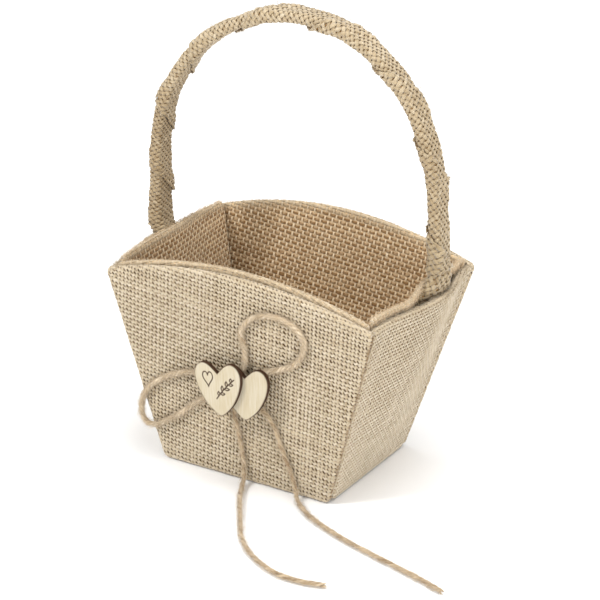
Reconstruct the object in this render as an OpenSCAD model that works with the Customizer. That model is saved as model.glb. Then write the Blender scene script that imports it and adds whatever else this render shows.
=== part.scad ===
// Square flared basket of burlap-covered board with an arched, tape-wrapped
// handle, a jute-twine bow and two thin wooden hearts.
// Millimetres. +X to the right, -Y to the front, +Z up. The origin is on the
// surface the basket stands on, under its centre.

/* [Body] */
// Width of the mouth, outside, at the corners
mouth_w = 150; // [140:1:165]
// Depth of the mouth, outside, at the corners
mouth_d = 110; // [104:1:122]
// Width of the foot, outside
foot_w = 96; // [90:1:104]
// Depth of the foot, outside
foot_d = 82; // [78:1:90]
// Height of the four corners
body_h = 102; // [98:1:110]
// How far the front and back tops rise above the corners
arc_rise = 12; // [6:0.5:14]
// How far the side tops rise above the corners
side_rise = 2; // [0.5:0.5:3]
// How far the left panel bows out where the handle is tucked in
bow_left = 4.8; // [4.6:0.1:5]
// How far the right panel bows out where the handle is tucked in
bow_right = 7.2; // [7:0.1:7.6]

/* [Cloth and board] */
// Thickness of the burlap over the boards
cloth_t = 0.9; // [0.7:0.1:1]
// Thickness of the outer boards
board_t = 2; // [1.8:0.1:2.2]
// Thickness of the lining boards
lining_board_t = 1.5; // [1.3:0.1:1.6]
// Width of the cloth turned in behind each board
hem_w = 13; // [8:1:16]

/* [Handle] */
// Half of the distance between the two legs, centre to centre
handle_half = 75.5; // [74:0.5:78]
// Height of the middle of the strip at the top of the arch
handle_top = 230.5; // [215:0.5:240]
// Height at which the straight legs end and the arch begins
handle_spring = 148; // [140:1:155]
// Width of the wrapped strip, front to back
handle_w = 12.5; // [11:0.5:14]
// Thickness of the wrapped strip
handle_t = 6; // [5:0.5:6]
// Width of the bare strip inside the wrap
core_w = 9; // [8:0.5:10]
// Thickness of the bare strip inside the wrap
core_t = 2.6; // [2:0.2:3]

/* [Bow] */
// Diameter of the jute twine
twine_d = 2.8; // [2.6:0.1:3.2]
// Width of each wooden heart
heart_w = 25.5; // [22:0.5:27]
// Height of each wooden heart
heart_h = 27.5; // [24:0.5:29]
// Thickness of each wooden heart
heart_t = 2.5; // [2:0.1:2.5]

/* [Hidden] */

burlap = [0.80, 0.69, 0.52];
lining_tan = [0.70, 0.57, 0.40];
grey_board = [0.62, 0.60, 0.57];
jute = [0.74, 0.60, 0.46];
pale_wood = [0.91, 0.84, 0.70];
clear_glue = [0.86, 0.83, 0.74];

fit = 0.15;                                   // room between neighbouring pieces
front_lean = atan((mouth_d - foot_d) / 2 / body_h);
side_lean = atan((mouth_w - foot_w) / 2 / body_h);
front_len = body_h / cos(front_lean);         // slant height of a front panel
side_len = body_h / cos(side_lean);
wall_t = cloth_t + board_t + cloth_t;         // outer panel: cloth, board, turned-in cloth
lining_t = cloth_t + lining_board_t + 0.6;
front_gap = 0.3;                              // outer panel to lining, front and back
side_gap = 0.5;                               // the same at the sides
slot_w = 7.2;                                 // how far outer wall and lining part at the handle
slot_reach = 30;                              // how far along the wall the lining's hollow reaches
front_lin0 = wall_t + front_gap;
side_lin0 = wall_t + side_gap;
base_top = cloth_t + board_t + 0.5;           // top of the covered base

// stands a plate, drawn flat with its outer face up, as a wall of the box:
// turn 0 is the front, 90 the right side, 180 the back and 270 the left side
module stand(dist, lean, turn)
    rotate([0, 0, turn]) translate([0, -dist, 0]) rotate([90 + lean, 0, 0]) children();

// height of a panel's curved top above its corners, s from -1 to 1
function crest(s) = 1 - s * s;
// share of a bulge centred on s0 that reaches r to one side and q to the other
function belly(s, s0, r, q) = pow(max(0, 1 - pow((s - s0) / (s < s0 ? r : q), 2)), 2);

// the bulges of a side wall, [how far out, where along the wall, reach to the two sides]
function out_of(turn) = turn == 90 ? [bow_right, 9.2, 56, 38] : [bow_left, 2.2, 30, 30];
// the lining follows the outer wall, but for a hollow that makes room for the handle
function hollow_of(turn) = [-slot_w, out_of(turn)[1], slot_reach, slot_reach];

// flat wall plate between depths d0 and d1 behind the outer face
module flat_plate(b, t, len, rise, v0, v1, inset, d0, d1, n = 28)
    translate([0, 0, -d1]) linear_extrude(d1 - d0) polygon(concat(
        [[-(b + (t - b) * v0 / len) + inset, v0 + inset], [b + (t - b) * v0 / len - inset, v0 + inset]],
        [for (i = [0 : n]) let (s = 1 - 2 * i / n) [(t - inset) * s, v1 + rise * crest(s) - inset]]));

// the same plate, pushed outwards at its top by the sum of a list of bulges
module bowed_plate(b, t, tall, rise, v0, v1, inset, d0, d1, bulges, n = 36) {
    function half(v) = b + (t - b) * v / tall;
    function total(l, s, i = 0) = i == len(l) ? 0 : l[i][0] * belly(s * t, l[i][1], l[i][2], l[i][3]) + total(l, s, i + 1);
    function bulge(u, v) = total(bulges, u / half(v)) * v / tall;
    rows = [for (i = [0 : n]) let (s = -1 + 2 * i / n,
            lo = [(half(v0) - inset) * s, v0 + inset],
            hi = [(t - inset) * s, v1 + rise * crest(s) - inset],
            wl = bulge(lo[0], lo[1]),
            wh = bulge(hi[0] * 0.999, hi[1]))
        [[lo[0], lo[1], wl - d0], [hi[0], hi[1], wh - d0], [hi[0], hi[1], wh - d1], [lo[0], lo[1], wl - d1]]];
    pts = [for (r = rows) for (p = r) p];
    polyhedron(pts, concat(
        [[3, 2, 1, 0]],
        [for (i = [0 : n - 1]) for (k = [0 : 3]) let (a = 4 * i, k2 = (k + 1) % 4)
            for (f = [[a + k, a + k2, a + 4 + k2], [a + k, a + 4 + k2, a + 4 + k]]) f],
        [[4 * n, 4 * n + 1, 4 * n + 2, 4 * n + 3]]));
}

// ---- outer walls
front_b = foot_w / 2;
front_t = mouth_w / 2;
side_b = foot_d / 2 - wall_t / cos(front_lean) - fit;
side_t = mouth_d / 2 - wall_t / cos(front_lean) - fit;

module long_board(turn)
    color(grey_board) stand(foot_d / 2, front_lean, turn)
        flat_plate(front_b, front_t, front_len, arc_rise, 0, front_len, cloth_t + 0.05, cloth_t + 0.05, cloth_t + board_t - 0.05);

module long_cover(turn)
    color(burlap) stand(foot_d / 2, front_lean, turn) difference() {
        flat_plate(front_b, front_t, front_len, arc_rise, 0, front_len, 0, 0, wall_t);
        flat_plate(front_b, front_t, front_len, arc_rise, 0, front_len, cloth_t, cloth_t, cloth_t + board_t);
        flat_plate(front_b, front_t, front_len, arc_rise, 0, front_len, hem_w, cloth_t + board_t - 0.5, wall_t + 1);
    }

module short_board(turn)
    color(grey_board) stand(foot_w / 2, side_lean, turn)
        bowed_plate(side_b, side_t, side_len, side_rise, 0, side_len, cloth_t + 0.05, cloth_t + 0.05, cloth_t + board_t - 0.05, [out_of(turn)]);

module short_cover(turn)
    color(burlap) stand(foot_w / 2, side_lean, turn) difference() {
        bowed_plate(side_b, side_t, side_len, side_rise, 0, side_len, 0, 0, wall_t, [out_of(turn)]);
        bowed_plate(side_b, side_t, side_len, side_rise, 0, side_len, cloth_t, cloth_t, cloth_t + board_t, [out_of(turn)]);
        bowed_plate(side_b, side_t, side_len, side_rise, 0, side_len, hem_w, cloth_t + board_t - 1, wall_t + 1, [out_of(turn)]);
    }

module front_board() { long_board(0); }
module front_cover() { long_cover(0); }
module back_board() { long_board(180); }
module back_cover() { long_cover(180); }
module left_board() { short_board(270); }
module left_cover() { short_cover(270); }
module right_board() { short_board(90); }
module right_cover() { short_cover(90); }

// ---- base, level, between the four walls
base_x = foot_w / 2 - wall_t * cos(side_lean) - 0.25;
base_y = foot_d / 2 - wall_t * cos(front_lean) - 0.25;

module slab(hx, hy, z0, z1) translate([-hx, -hy, z0]) cube([2 * hx, 2 * hy, z1 - z0]);

module base_board()
    color(grey_board) slab(base_x - cloth_t - 0.05, base_y - cloth_t - 0.05, cloth_t + 0.05, cloth_t + board_t - 0.05);

module base_cover()
    color(burlap) difference() {
        slab(base_x, base_y, 0, base_top);
        slab(base_x - cloth_t, base_y - cloth_t, cloth_t, cloth_t + board_t);
        slab(base_x - hem_w, base_y - hem_w, cloth_t + board_t - 0.5, base_top + 1);
    }

// ---- lining: a second, thinner box that stands inside the first
lin_v0 = base_top + 0.1;                       // the lining walls stand on the base
lin_up = 2;                                    // they reach a little above the outer walls
lin_up_side = 3.2;                             // and a little more at the sides
lin_front_b = foot_w / 2 - wall_t / cos(side_lean) - 0.1;
lin_front_t = mouth_w / 2 - wall_t / cos(side_lean) - 0.1;
lin_side_b = foot_d / 2 - (front_lin0 + lining_t) / cos(front_lean) - fit;
lin_side_t = mouth_d / 2 - (front_lin0 + lining_t) / cos(front_lean) - fit;
turn_t = lining_t - cloth_t - lining_board_t;  // thin turned cloth behind a lining board

module long_lining_board(turn)
    color(grey_board) stand(foot_d / 2, front_lean, turn)
        flat_plate(lin_front_b, lin_front_t, front_len, arc_rise, lin_v0, front_len + lin_up, cloth_t + 0.05,
            front_lin0 + turn_t + 0.05, front_lin0 + turn_t + lining_board_t - 0.05);

module long_lining(turn)
    color(lining_tan) stand(foot_d / 2, front_lean, turn) difference() {
        flat_plate(lin_front_b, lin_front_t, front_len, arc_rise, lin_v0, front_len + lin_up, 0, front_lin0, front_lin0 + lining_t);
        flat_plate(lin_front_b, lin_front_t, front_len, arc_rise, lin_v0, front_len + lin_up, cloth_t,
            front_lin0 + turn_t, front_lin0 + turn_t + lining_board_t);
        flat_plate(lin_front_b, lin_front_t, front_len, arc_rise, lin_v0, front_len + lin_up, hem_w,
            front_lin0 - 1, front_lin0 + turn_t + 0.5);
    }

module short_lining_board(turn)
    color(grey_board) stand(foot_w / 2, side_lean, turn)
        bowed_plate(lin_side_b, lin_side_t, side_len, side_rise, lin_v0, side_len + lin_up_side, cloth_t + 0.05,
            side_lin0 + turn_t + 0.05, side_lin0 + turn_t + lining_board_t - 0.05, [out_of(turn), hollow_of(turn)]);

module short_lining(turn)
    color(lining_tan) stand(foot_w / 2, side_lean, turn) difference() {
        bowed_plate(lin_side_b, lin_side_t, side_len, side_rise, lin_v0, side_len + lin_up_side, 0, side_lin0, side_lin0 + lining_t, [out_of(turn), hollow_of(turn)]);
        bowed_plate(lin_side_b, lin_side_t, side_len, side_rise, lin_v0, side_len + lin_up_side, cloth_t,
            side_lin0 + turn_t, side_lin0 + turn_t + lining_board_t, [out_of(turn), hollow_of(turn)]);
        bowed_plate(lin_side_b, lin_side_t, side_len, side_rise, lin_v0, side_len + lin_up_side, hem_w,
            side_lin0 - 1, side_lin0 + turn_t + 0.75, [out_of(turn), hollow_of(turn)]);
    }

module front_lining_board() { long_lining_board(0); }
module front_lining() { long_lining(0); }
module back_lining_board() { long_lining_board(180); }
module back_lining() { long_lining(180); }
module left_lining_board() { short_lining_board(270); }
module left_lining() { short_lining(270); }
module right_lining_board() { short_lining_board(90); }
module right_lining() { short_lining(90); }

pad_z = base_top + 0.3;
pad_x = foot_w / 2 + pad_z * tan(side_lean) - (side_lin0 + lining_t) / cos(side_lean) - 0.3;
pad_y = foot_d / 2 + pad_z * tan(front_lean) - (front_lin0 + lining_t) / cos(front_lean) - 0.3;

module base_lining_board()
    color(grey_board) slab(pad_x - cloth_t - 0.05, pad_y - cloth_t - 0.05, pad_z + turn_t + 0.05, pad_z + turn_t + lining_board_t - 0.05);

module base_lining()
    color(lining_tan) difference() {
        slab(pad_x, pad_y, pad_z, pad_z + lining_t);
        slab(pad_x - cloth_t, pad_y - cloth_t, pad_z + turn_t, pad_z + turn_t + lining_board_t);
        slab(pad_x - hem_w, pad_y - hem_w, pad_z - 1, pad_z + turn_t + 0.5);
    }

// ---- handle: a flat strip bent into an arch, with both ends tucked between
// an outer side wall and the lining, and a burlap tape wound round it
tuck_z = 70;                                   // how low the tucked ends reach
// middle of the slot between side wall and lining, at height z, out the wall's bow
function slot_x(z, out) = foot_w / 2 + z * tan(side_lean) - (wall_t + side_gap / 2) / cos(side_lean)
                          + (out - slot_w / 2) / cos(side_lean) * z / body_h;
crease_z = 114;                                // where each leg kinks upright
function leg(out, kink) = concat(
    [for (z = [tuck_z : 8 : body_h]) [slot_x(z, out), z]],
    [[slot_x(body_h, out) + kink, body_h + 7], [handle_half + 0.2, crease_z + 2], [handle_half + 0.7, crease_z + 8],
     [handle_half + 0.5, (crease_z + handle_spring) / 2 + 4]]);
leg_right = leg(bow_right, 1.5);
leg_left = leg(bow_left, 2.7);
// the shoulders of the arch sit a little to the left
function lean_x(z) = -1.7 * sin(180 * min(1, max(0, z - 135) / 97));
arch = [for (i = [0 : 32]) let (a = 180 * i / 32, z = handle_spring + (handle_top - handle_spring) * sin(a))
    [handle_half * cos(a) + lean_x(z), z]];
// from the right end over the top to the left end
strip = concat(leg_right, arch, [for (i = [len(leg_left) - 1 : -1 : 0]) [-leg_left[i][0], leg_left[i][1]]]);
// the arch stands slightly turned, and its right leg leans back
handle_turn = 3.5;
handle_shift = 2;
function strip_y(p) = handle_shift + p[0] * tan(handle_turn) + (p[0] > 0 ? 3 * min(1, max(0, 150 - p[1]) / 45) : 0);
// the tape is squeezed flat where it is tucked in
function strip_t(z, t, tucked) = z >= body_h ? t : tucked + (t - tucked) * (z - tuck_z) / (body_h - tuck_z);

module ribbon(path, w, t, tucked) {
    n = len(path);
    dir = [for (i = [0 : n - 1]) let (d = path[min(i + 1, n - 1)] - path[max(i - 1, 0)]) d / norm(d)];
    pts = [for (i = [0 : n - 1]) let (p = path[i], h = strip_t(p[1], t, tucked) / 2, y = strip_y(p),
            nx = -dir[i][1] * h, nz = dir[i][0] * h)
        for (c = [[1, -1], [1, 1], [-1, 1], [-1, -1]]) [p[0] + c[0] * nx, y + c[1] * w / 2, p[1] + c[0] * nz]];
    polyhedron(pts, concat(
        [[3, 2, 1, 0]],
        [for (i = [0 : n - 2]) for (k = [0 : 3]) let (a = 4 * i, k2 = (k + 1) % 4)
            for (f = [[a + k, a + k2, a + 4 + k2], [a + k, a + 4 + k2, a + 4 + k]]) f],
        [[4 * n - 4, 4 * n - 3, 4 * n - 2, 4 * n - 1]]));
}

module handle_core() { color(pale_wood) ribbon(strip, core_w, core_t, core_t); }
module handle_wrap()
    color(burlap) difference() {
        ribbon(strip, handle_w, handle_t, 4);
        // the hollow runs a little past both ends of the tape
        ribbon(concat([strip[0] - [tan(side_lean), 1]], strip, [strip[len(strip) - 1] - [-tan(side_lean), 1]]),
            core_w + 0.1, core_t + 0.1, core_t + 0.1);
    }

// ---- bow
// outer face of the front wall at height z
function wall_y(z) = -(foot_d / 2 + z * tan(front_lean));
bow_x = 2;
bow_z = 57;
bow_r = 5;
bow_t = 4.6;
pad_t = 0.6;

module on_wall(z, off) translate([0, wall_y(z), z]) rotate([90 + front_lean, 0, 0]) translate([0, 0, off]) children();

module bow_glue() { color(clear_glue) translate([bow_x, 0, 0]) on_wall(bow_z, 0.05) cylinder(h = pad_t, r = bow_r + 1, $fn = 40); }
module twine_knot() { color(jute) translate([bow_x, 0, 0]) on_wall(bow_z, pad_t + 0.1) cylinder(h = bow_t - 0.1, r = bow_r, $fn = 40); }

// a twine route on the front wall is given as x and height, and lies on the cloth
function laid(x, z, off = 0) = [x, wall_y(z) - twine_d / 2 / cos(front_lean) - 0.3 - off, z];
loop_left = [laid(-3.6, 58.4, 1.4), laid(-12, 59, 1), laid(-23, 57, 0.4), laid(-33, 54, 0.2), laid(-41, 50), laid(-48, 45),
             laid(-54, 38.5), laid(-57.5, 30.5), laid(-57.5, 23), laid(-54.5, 19.3), laid(-49.5, 19.8),
             laid(-43, 24), laid(-35, 30), laid(-27, 37.3, 0.2), laid(-20, 43, 0.4), laid(-11, 49.5, 1), laid(-3.4, 54.2, 1.4)];
loop_right = [laid(2.6, 62.8, 1.4), laid(5, 69, 0.6), laid(4.7, 78), laid(3.4, 85), laid(7, 92.8), laid(16.5, 98.6),
              laid(27.3, 99), laid(35.7, 94.8), laid(38.7, 88), laid(36.6, 80.8), laid(31.5, 75),
              laid(25, 71.3), laid(18.5, 68.5, 0.4), laid(12, 65, 1), laid(6.8, 60.8, 1.4)];
tail_left = [laid(0.8, 51.2, 1.4), laid(-1.5, 46, 0.8), laid(-2.8, 40, 0.2), laid(-1.8, 32), laid(-0.4, 24.5), laid(0.8, 15.5), laid(1.2, 8.5, 0.2),
             [1.6, -44.8, 4], [3.4, -49, 2], [7, -57, 1.6], [12, -66, 1.6], [17.5, -75, 1.6], [24, -85.5, 1.6], [31, -96, 1.6],
             [40, -105.5, 1.6], [51.5, -113.5, 1.6], [64, -118.5, 1.6], [76, -119, 1.6], [88.5, -116, 1.6]];
tail_right = [laid(5, 51.8, 1.4), laid(10, 47.5, 1), laid(16, 43.5, 0.4), laid(20, 36.5), laid(23, 27.5), laid(26.6, 17.5), laid(29.6, 9, 0.2),
              [31.6, -45, 4], [34.4, -48.4, 2], [41, -54.5, 1.6], [50, -60.8, 1.6], [61, -66.2, 1.6], [75, -71.8, 1.6],
              [91, -77, 1.6], [108, -82, 1.6], [123, -86.5, 1.6], [136.5, -91.5, 1.6]];

// round tube along a route; every ring keeps one corner pointing up
module tube(path, d, sides = 8) {
    n = len(path);
    pts = [for (i = [0 : n - 1])
        let (t0 = path[min(i + 1, n - 1)] - path[max(i - 1, 0)], t = t0 / norm(t0),
             ref = abs(t[1]) > 0.85 ? [1, 0, 0] : [0, 1, 0],
             a0 = cross(t, ref), a = a0 / norm(a0), b = cross(t, a))
        for (k = [0 : sides - 1]) path[i] + d / 2 * (cos(360 * k / sides) * a + sin(360 * k / sides) * b)];
    polyhedron(pts, concat(
        [[for (k = [0 : sides - 1]) k]],
        [for (i = [0 : n - 2]) for (k = [0 : sides - 1]) let (a = sides * i, k2 = (k + 1) % sides)
            for (f = [[a + k, a + sides + k2, a + k2], [a + k, a + sides + k, a + sides + k2]]) f],
        [[for (k = [sides - 1 : -1 : 0]) sides * (n - 1) + k]]));
}

module twine_loop_left() { color(jute) tube(loop_left, twine_d); }
module twine_loop_right() { color(jute) tube(loop_right, twine_d); }
module twine_tail_left() { color(jute) tube(tail_left, twine_d); }
module twine_tail_right() { color(jute) tube(tail_right, twine_d); }

// heart outline: full lobes and convex flanks down to a blunt point. One half
// as a smooth line from notch to point, on a heart 25.8 wide and 27.4 high
heart_half = [[0, 7.5], [2.4, 9.9], [5.3, 12.2], [8, 12.9], [10.9, 11.6], [12.75, 8.4], [12.9, 4.5], [11.9, 0.2], [10, -4.2],
              [7.1, -8.8], [3.8, -12.2], [1.4, -14], [0, -14.5]];
function smooth(a, b, c, d, t) = (2 * b + (c - a) * t + (2 * a - 5 * b + 4 * c - d) * t * t + (3 * b - a - 3 * c + d) * t * t * t) / 2;
function at(i) = i < 0 ? 2 * heart_half[0] - heart_half[1]
    : i >= len(heart_half) ? 2 * heart_half[len(heart_half) - 1] - heart_half[len(heart_half) - 2] : heart_half[i];
flank = [for (i = [0 : len(heart_half) - 2]) for (t = [0 : 0.25 : 0.99]) smooth(at(i - 1), at(i), at(i + 1), at(i + 2), t)];
module heart(w, h, t)
    linear_extrude(t) scale([w / 25.8, h / 27.4]) polygon(concat(
        flank, [heart_half[len(heart_half) - 1]], [for (i = [len(flank) - 1 : -1 : 1]) [-flank[i][0], flank[i][1]]]));

module heart_back()
    color(pale_wood) translate([8, -57.3, 56.4]) rotate([90, 0, 0]) rotate([0, 0, 3]) translate([0, 0, -heart_t]) heart(heart_w, heart_h, heart_t);
module heart_front()
    color(pale_wood) translate([-5.2, -60, 56.4]) rotate([90, 0, 0]) rotate([0, 0, 8]) translate([0, 0, -heart_t]) heart(heart_w, heart_h, heart_t);

// ---- glue beads down the four inside corners of the outer box
module corner_glue()
    color(clear_glue) for (turn = [90, 270]) for (side = [-1, 1])
        stand(foot_w / 2, side_lean, turn) translate([0, 0, -wall_t - side_gap / 2])
            translate([side * (lin_side_b + 0.5), 20, 0]) rotate([0, 0, -side * atan((side_t - side_b) / side_len)])
                rotate([-90, 0, 0]) cylinder(h = 70, r = 0.15, $fn = 16);

front_board();
front_cover();
back_board();
back_cover();
left_board();
left_cover();
right_board();
right_cover();
base_board();
base_cover();
front_lining_board();
front_lining();
back_lining_board();
back_lining();
left_lining_board();
left_lining();
right_lining_board();
right_lining();
base_lining_board();
base_lining();
handle_core();
handle_wrap();
twine_knot();
twine_loop_left();
twine_loop_right();
twine_tail_left();
twine_tail_right();
heart_back();
heart_front();
bow_glue();
corner_glue();
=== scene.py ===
import bpy
import math
import numpy as np
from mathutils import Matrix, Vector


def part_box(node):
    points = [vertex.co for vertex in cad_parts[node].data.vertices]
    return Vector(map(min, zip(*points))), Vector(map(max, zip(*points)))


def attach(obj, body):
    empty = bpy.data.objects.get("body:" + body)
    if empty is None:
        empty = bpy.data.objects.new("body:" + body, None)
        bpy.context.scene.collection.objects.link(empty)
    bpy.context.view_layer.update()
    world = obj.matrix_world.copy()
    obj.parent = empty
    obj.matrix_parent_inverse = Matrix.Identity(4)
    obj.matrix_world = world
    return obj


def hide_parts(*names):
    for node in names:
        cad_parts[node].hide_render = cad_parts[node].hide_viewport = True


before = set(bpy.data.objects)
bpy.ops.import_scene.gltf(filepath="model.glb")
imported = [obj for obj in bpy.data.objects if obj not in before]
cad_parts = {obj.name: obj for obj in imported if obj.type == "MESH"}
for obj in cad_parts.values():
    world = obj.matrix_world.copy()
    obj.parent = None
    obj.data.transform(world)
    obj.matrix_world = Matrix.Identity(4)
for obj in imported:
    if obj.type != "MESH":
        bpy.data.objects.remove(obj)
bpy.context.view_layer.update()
MM = 0.001
PI = math.pi


# ---------------------------------------------------------------- camera
# 600 x 600 frame; a long lens well back, so the box keeps almost parallel sides
CAM_AZ, CAM_EL, CAM_ROLL = math.radians(29.02), math.radians(22.81), math.radians(2.13)
CAM_DIST, CAM_LENS = 1.380, 166.24
CAM_AIM = np.array([0.005, 0.0, 0.0846])


def make_camera():
    back = np.array([math.sin(CAM_AZ) * math.cos(CAM_EL), -math.cos(CAM_AZ) * math.cos(CAM_EL), math.sin(CAM_EL)])
    right = np.cross(-back, [0, 0, 1]); right /= np.linalg.norm(right)
    up = np.cross(right, -back)
    c, s = math.cos(CAM_ROLL), math.sin(CAM_ROLL)
    r2, u2 = c * right + s * up, -s * right + c * up
    cam = bpy.data.cameras.new("camera")
    cam.sensor_width = 36.0
    cam.lens = CAM_LENS
    cam.clip_start, cam.clip_end = 0.05, 20
    cam.dof.use_dof = False
    ob = bpy.data.objects.new("camera", cam)
    bpy.context.scene.collection.objects.link(ob)
    from mathutils import Matrix
    eye = CAM_AIM + back * CAM_DIST
    m = Matrix.Identity(4)
    for i in range(3):
        m[i][0], m[i][1], m[i][2], m[i][3] = r2[i], u2[i], back[i], eye[i]
    ob.matrix_world = m
    bpy.context.scene.camera = ob


make_camera()


# ---------------------------------------------------------------- the object's sizes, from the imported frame
def box_mm(node):
    lo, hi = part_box(node)
    return np.array(lo) / MM, np.array(hi) / MM


BODY_H = 102.0
FRONT_B, FRONT_T = 48.0, 75.0
SIDE_B, SIDE_T = 37.01, 51.01
FRONT_DIST, SIDE_DIST = 41.0, 48.0
FRONT_LEAN = math.atan(14 / 102)
SIDE_LEAN = math.atan(27 / 102)
FRONT_LEN = BODY_H / math.cos(FRONT_LEAN)
SIDE_LEN = BODY_H / math.cos(SIDE_LEAN)
WALL_T, LINING_T = 3.8, 3.0
FRONT_LIN0, SIDE_LIN0 = 4.1, 4.3
# bulges of the side walls: how far out, where along the wall, reach to the two sides
OUT_OF = {"right": (7.2, 9.2, 56.0, 38.0), "left": (4.8, 2.2, 30.0, 30.0)}
SLOT_W, SLOT_REACH = 7.2, 30.0


# ---------------------------------------------------------------- small numeric helpers
def smooth_noise(rng, n, step):
    """n values of smooth noise, about -1 to 1, with a new value every step samples."""
    k = int(n / step) + 4
    v = rng.uniform(-1, 1, k)
    x = np.arange(n) / step
    i = x.astype(int)
    f = x - i
    f = f * f * (3 - 2 * f)
    return v[i] * (1 - f) + v[i + 1] * f


def unit(v):
    return v / np.maximum(np.linalg.norm(v, axis=-1, keepdims=True), 1e-12)


def frames_along(P):
    """Tangents and a twist-free pair of normals along a line of points."""
    T = unit(np.gradient(P, axis=0))
    a = np.array([0, 0, 1.0]) if abs(T[0][2]) < 0.9 else np.array([1.0, 0, 0])
    n = a - T[0] * (a @ T[0])
    n /= np.linalg.norm(n)
    N = [n]
    for i in range(1, len(P)):
        v = N[-1] - T[i] * (N[-1] @ T[i])
        N.append(v / np.linalg.norm(v))
    N = np.array(N)
    return T, N, np.cross(T, N)


def spline(points, step):
    """Points every step along a centripetal Catmull-Rom curve through the given points."""
    P = np.array(points, float)
    Q = np.vstack([2 * P[0] - P[1], P, 2 * P[-1] - P[-2]])
    out = []
    for i in range(1, len(Q) - 2):
        p0, p1, p2, p3 = Q[i - 1:i + 3]
        t0, t1 = 0, max(np.linalg.norm(p1 - p0), 1e-6) ** 0.5
        t2 = t1 + max(np.linalg.norm(p2 - p1), 1e-6) ** 0.5
        t3 = t2 + max(np.linalg.norm(p3 - p2), 1e-6) ** 0.5
        t = np.linspace(t1, t2, 24, endpoint=False)[:, None]
        A1 = (t1 - t) / (t1 - t0) * p0 + (t - t0) / (t1 - t0) * p1
        A2 = (t2 - t) / (t2 - t1) * p1 + (t - t1) / (t2 - t1) * p2
        A3 = (t3 - t) / (t3 - t2) * p2 + (t - t2) / (t3 - t2) * p3
        B1 = (t2 - t) / (t2 - t0) * A1 + (t - t0) / (t2 - t0) * A2
        B2 = (t3 - t) / (t3 - t1) * A2 + (t - t1) / (t3 - t1) * A3
        out.append((t2 - t) / (t2 - t1) * B1 + (t - t1) / (t2 - t1) * B2)
    C = np.vstack(out + [P[-1][None]])
    s = np.concatenate([[0], np.cumsum(np.linalg.norm(np.diff(C, axis=0), axis=1))])
    n = max(int(round(s[-1] / step)), 2)
    x = np.linspace(0, s[-1], n + 1)
    return np.stack([np.interp(x, s, C[:, k]) for k in range(3)], 1), float(s[-1])


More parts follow.
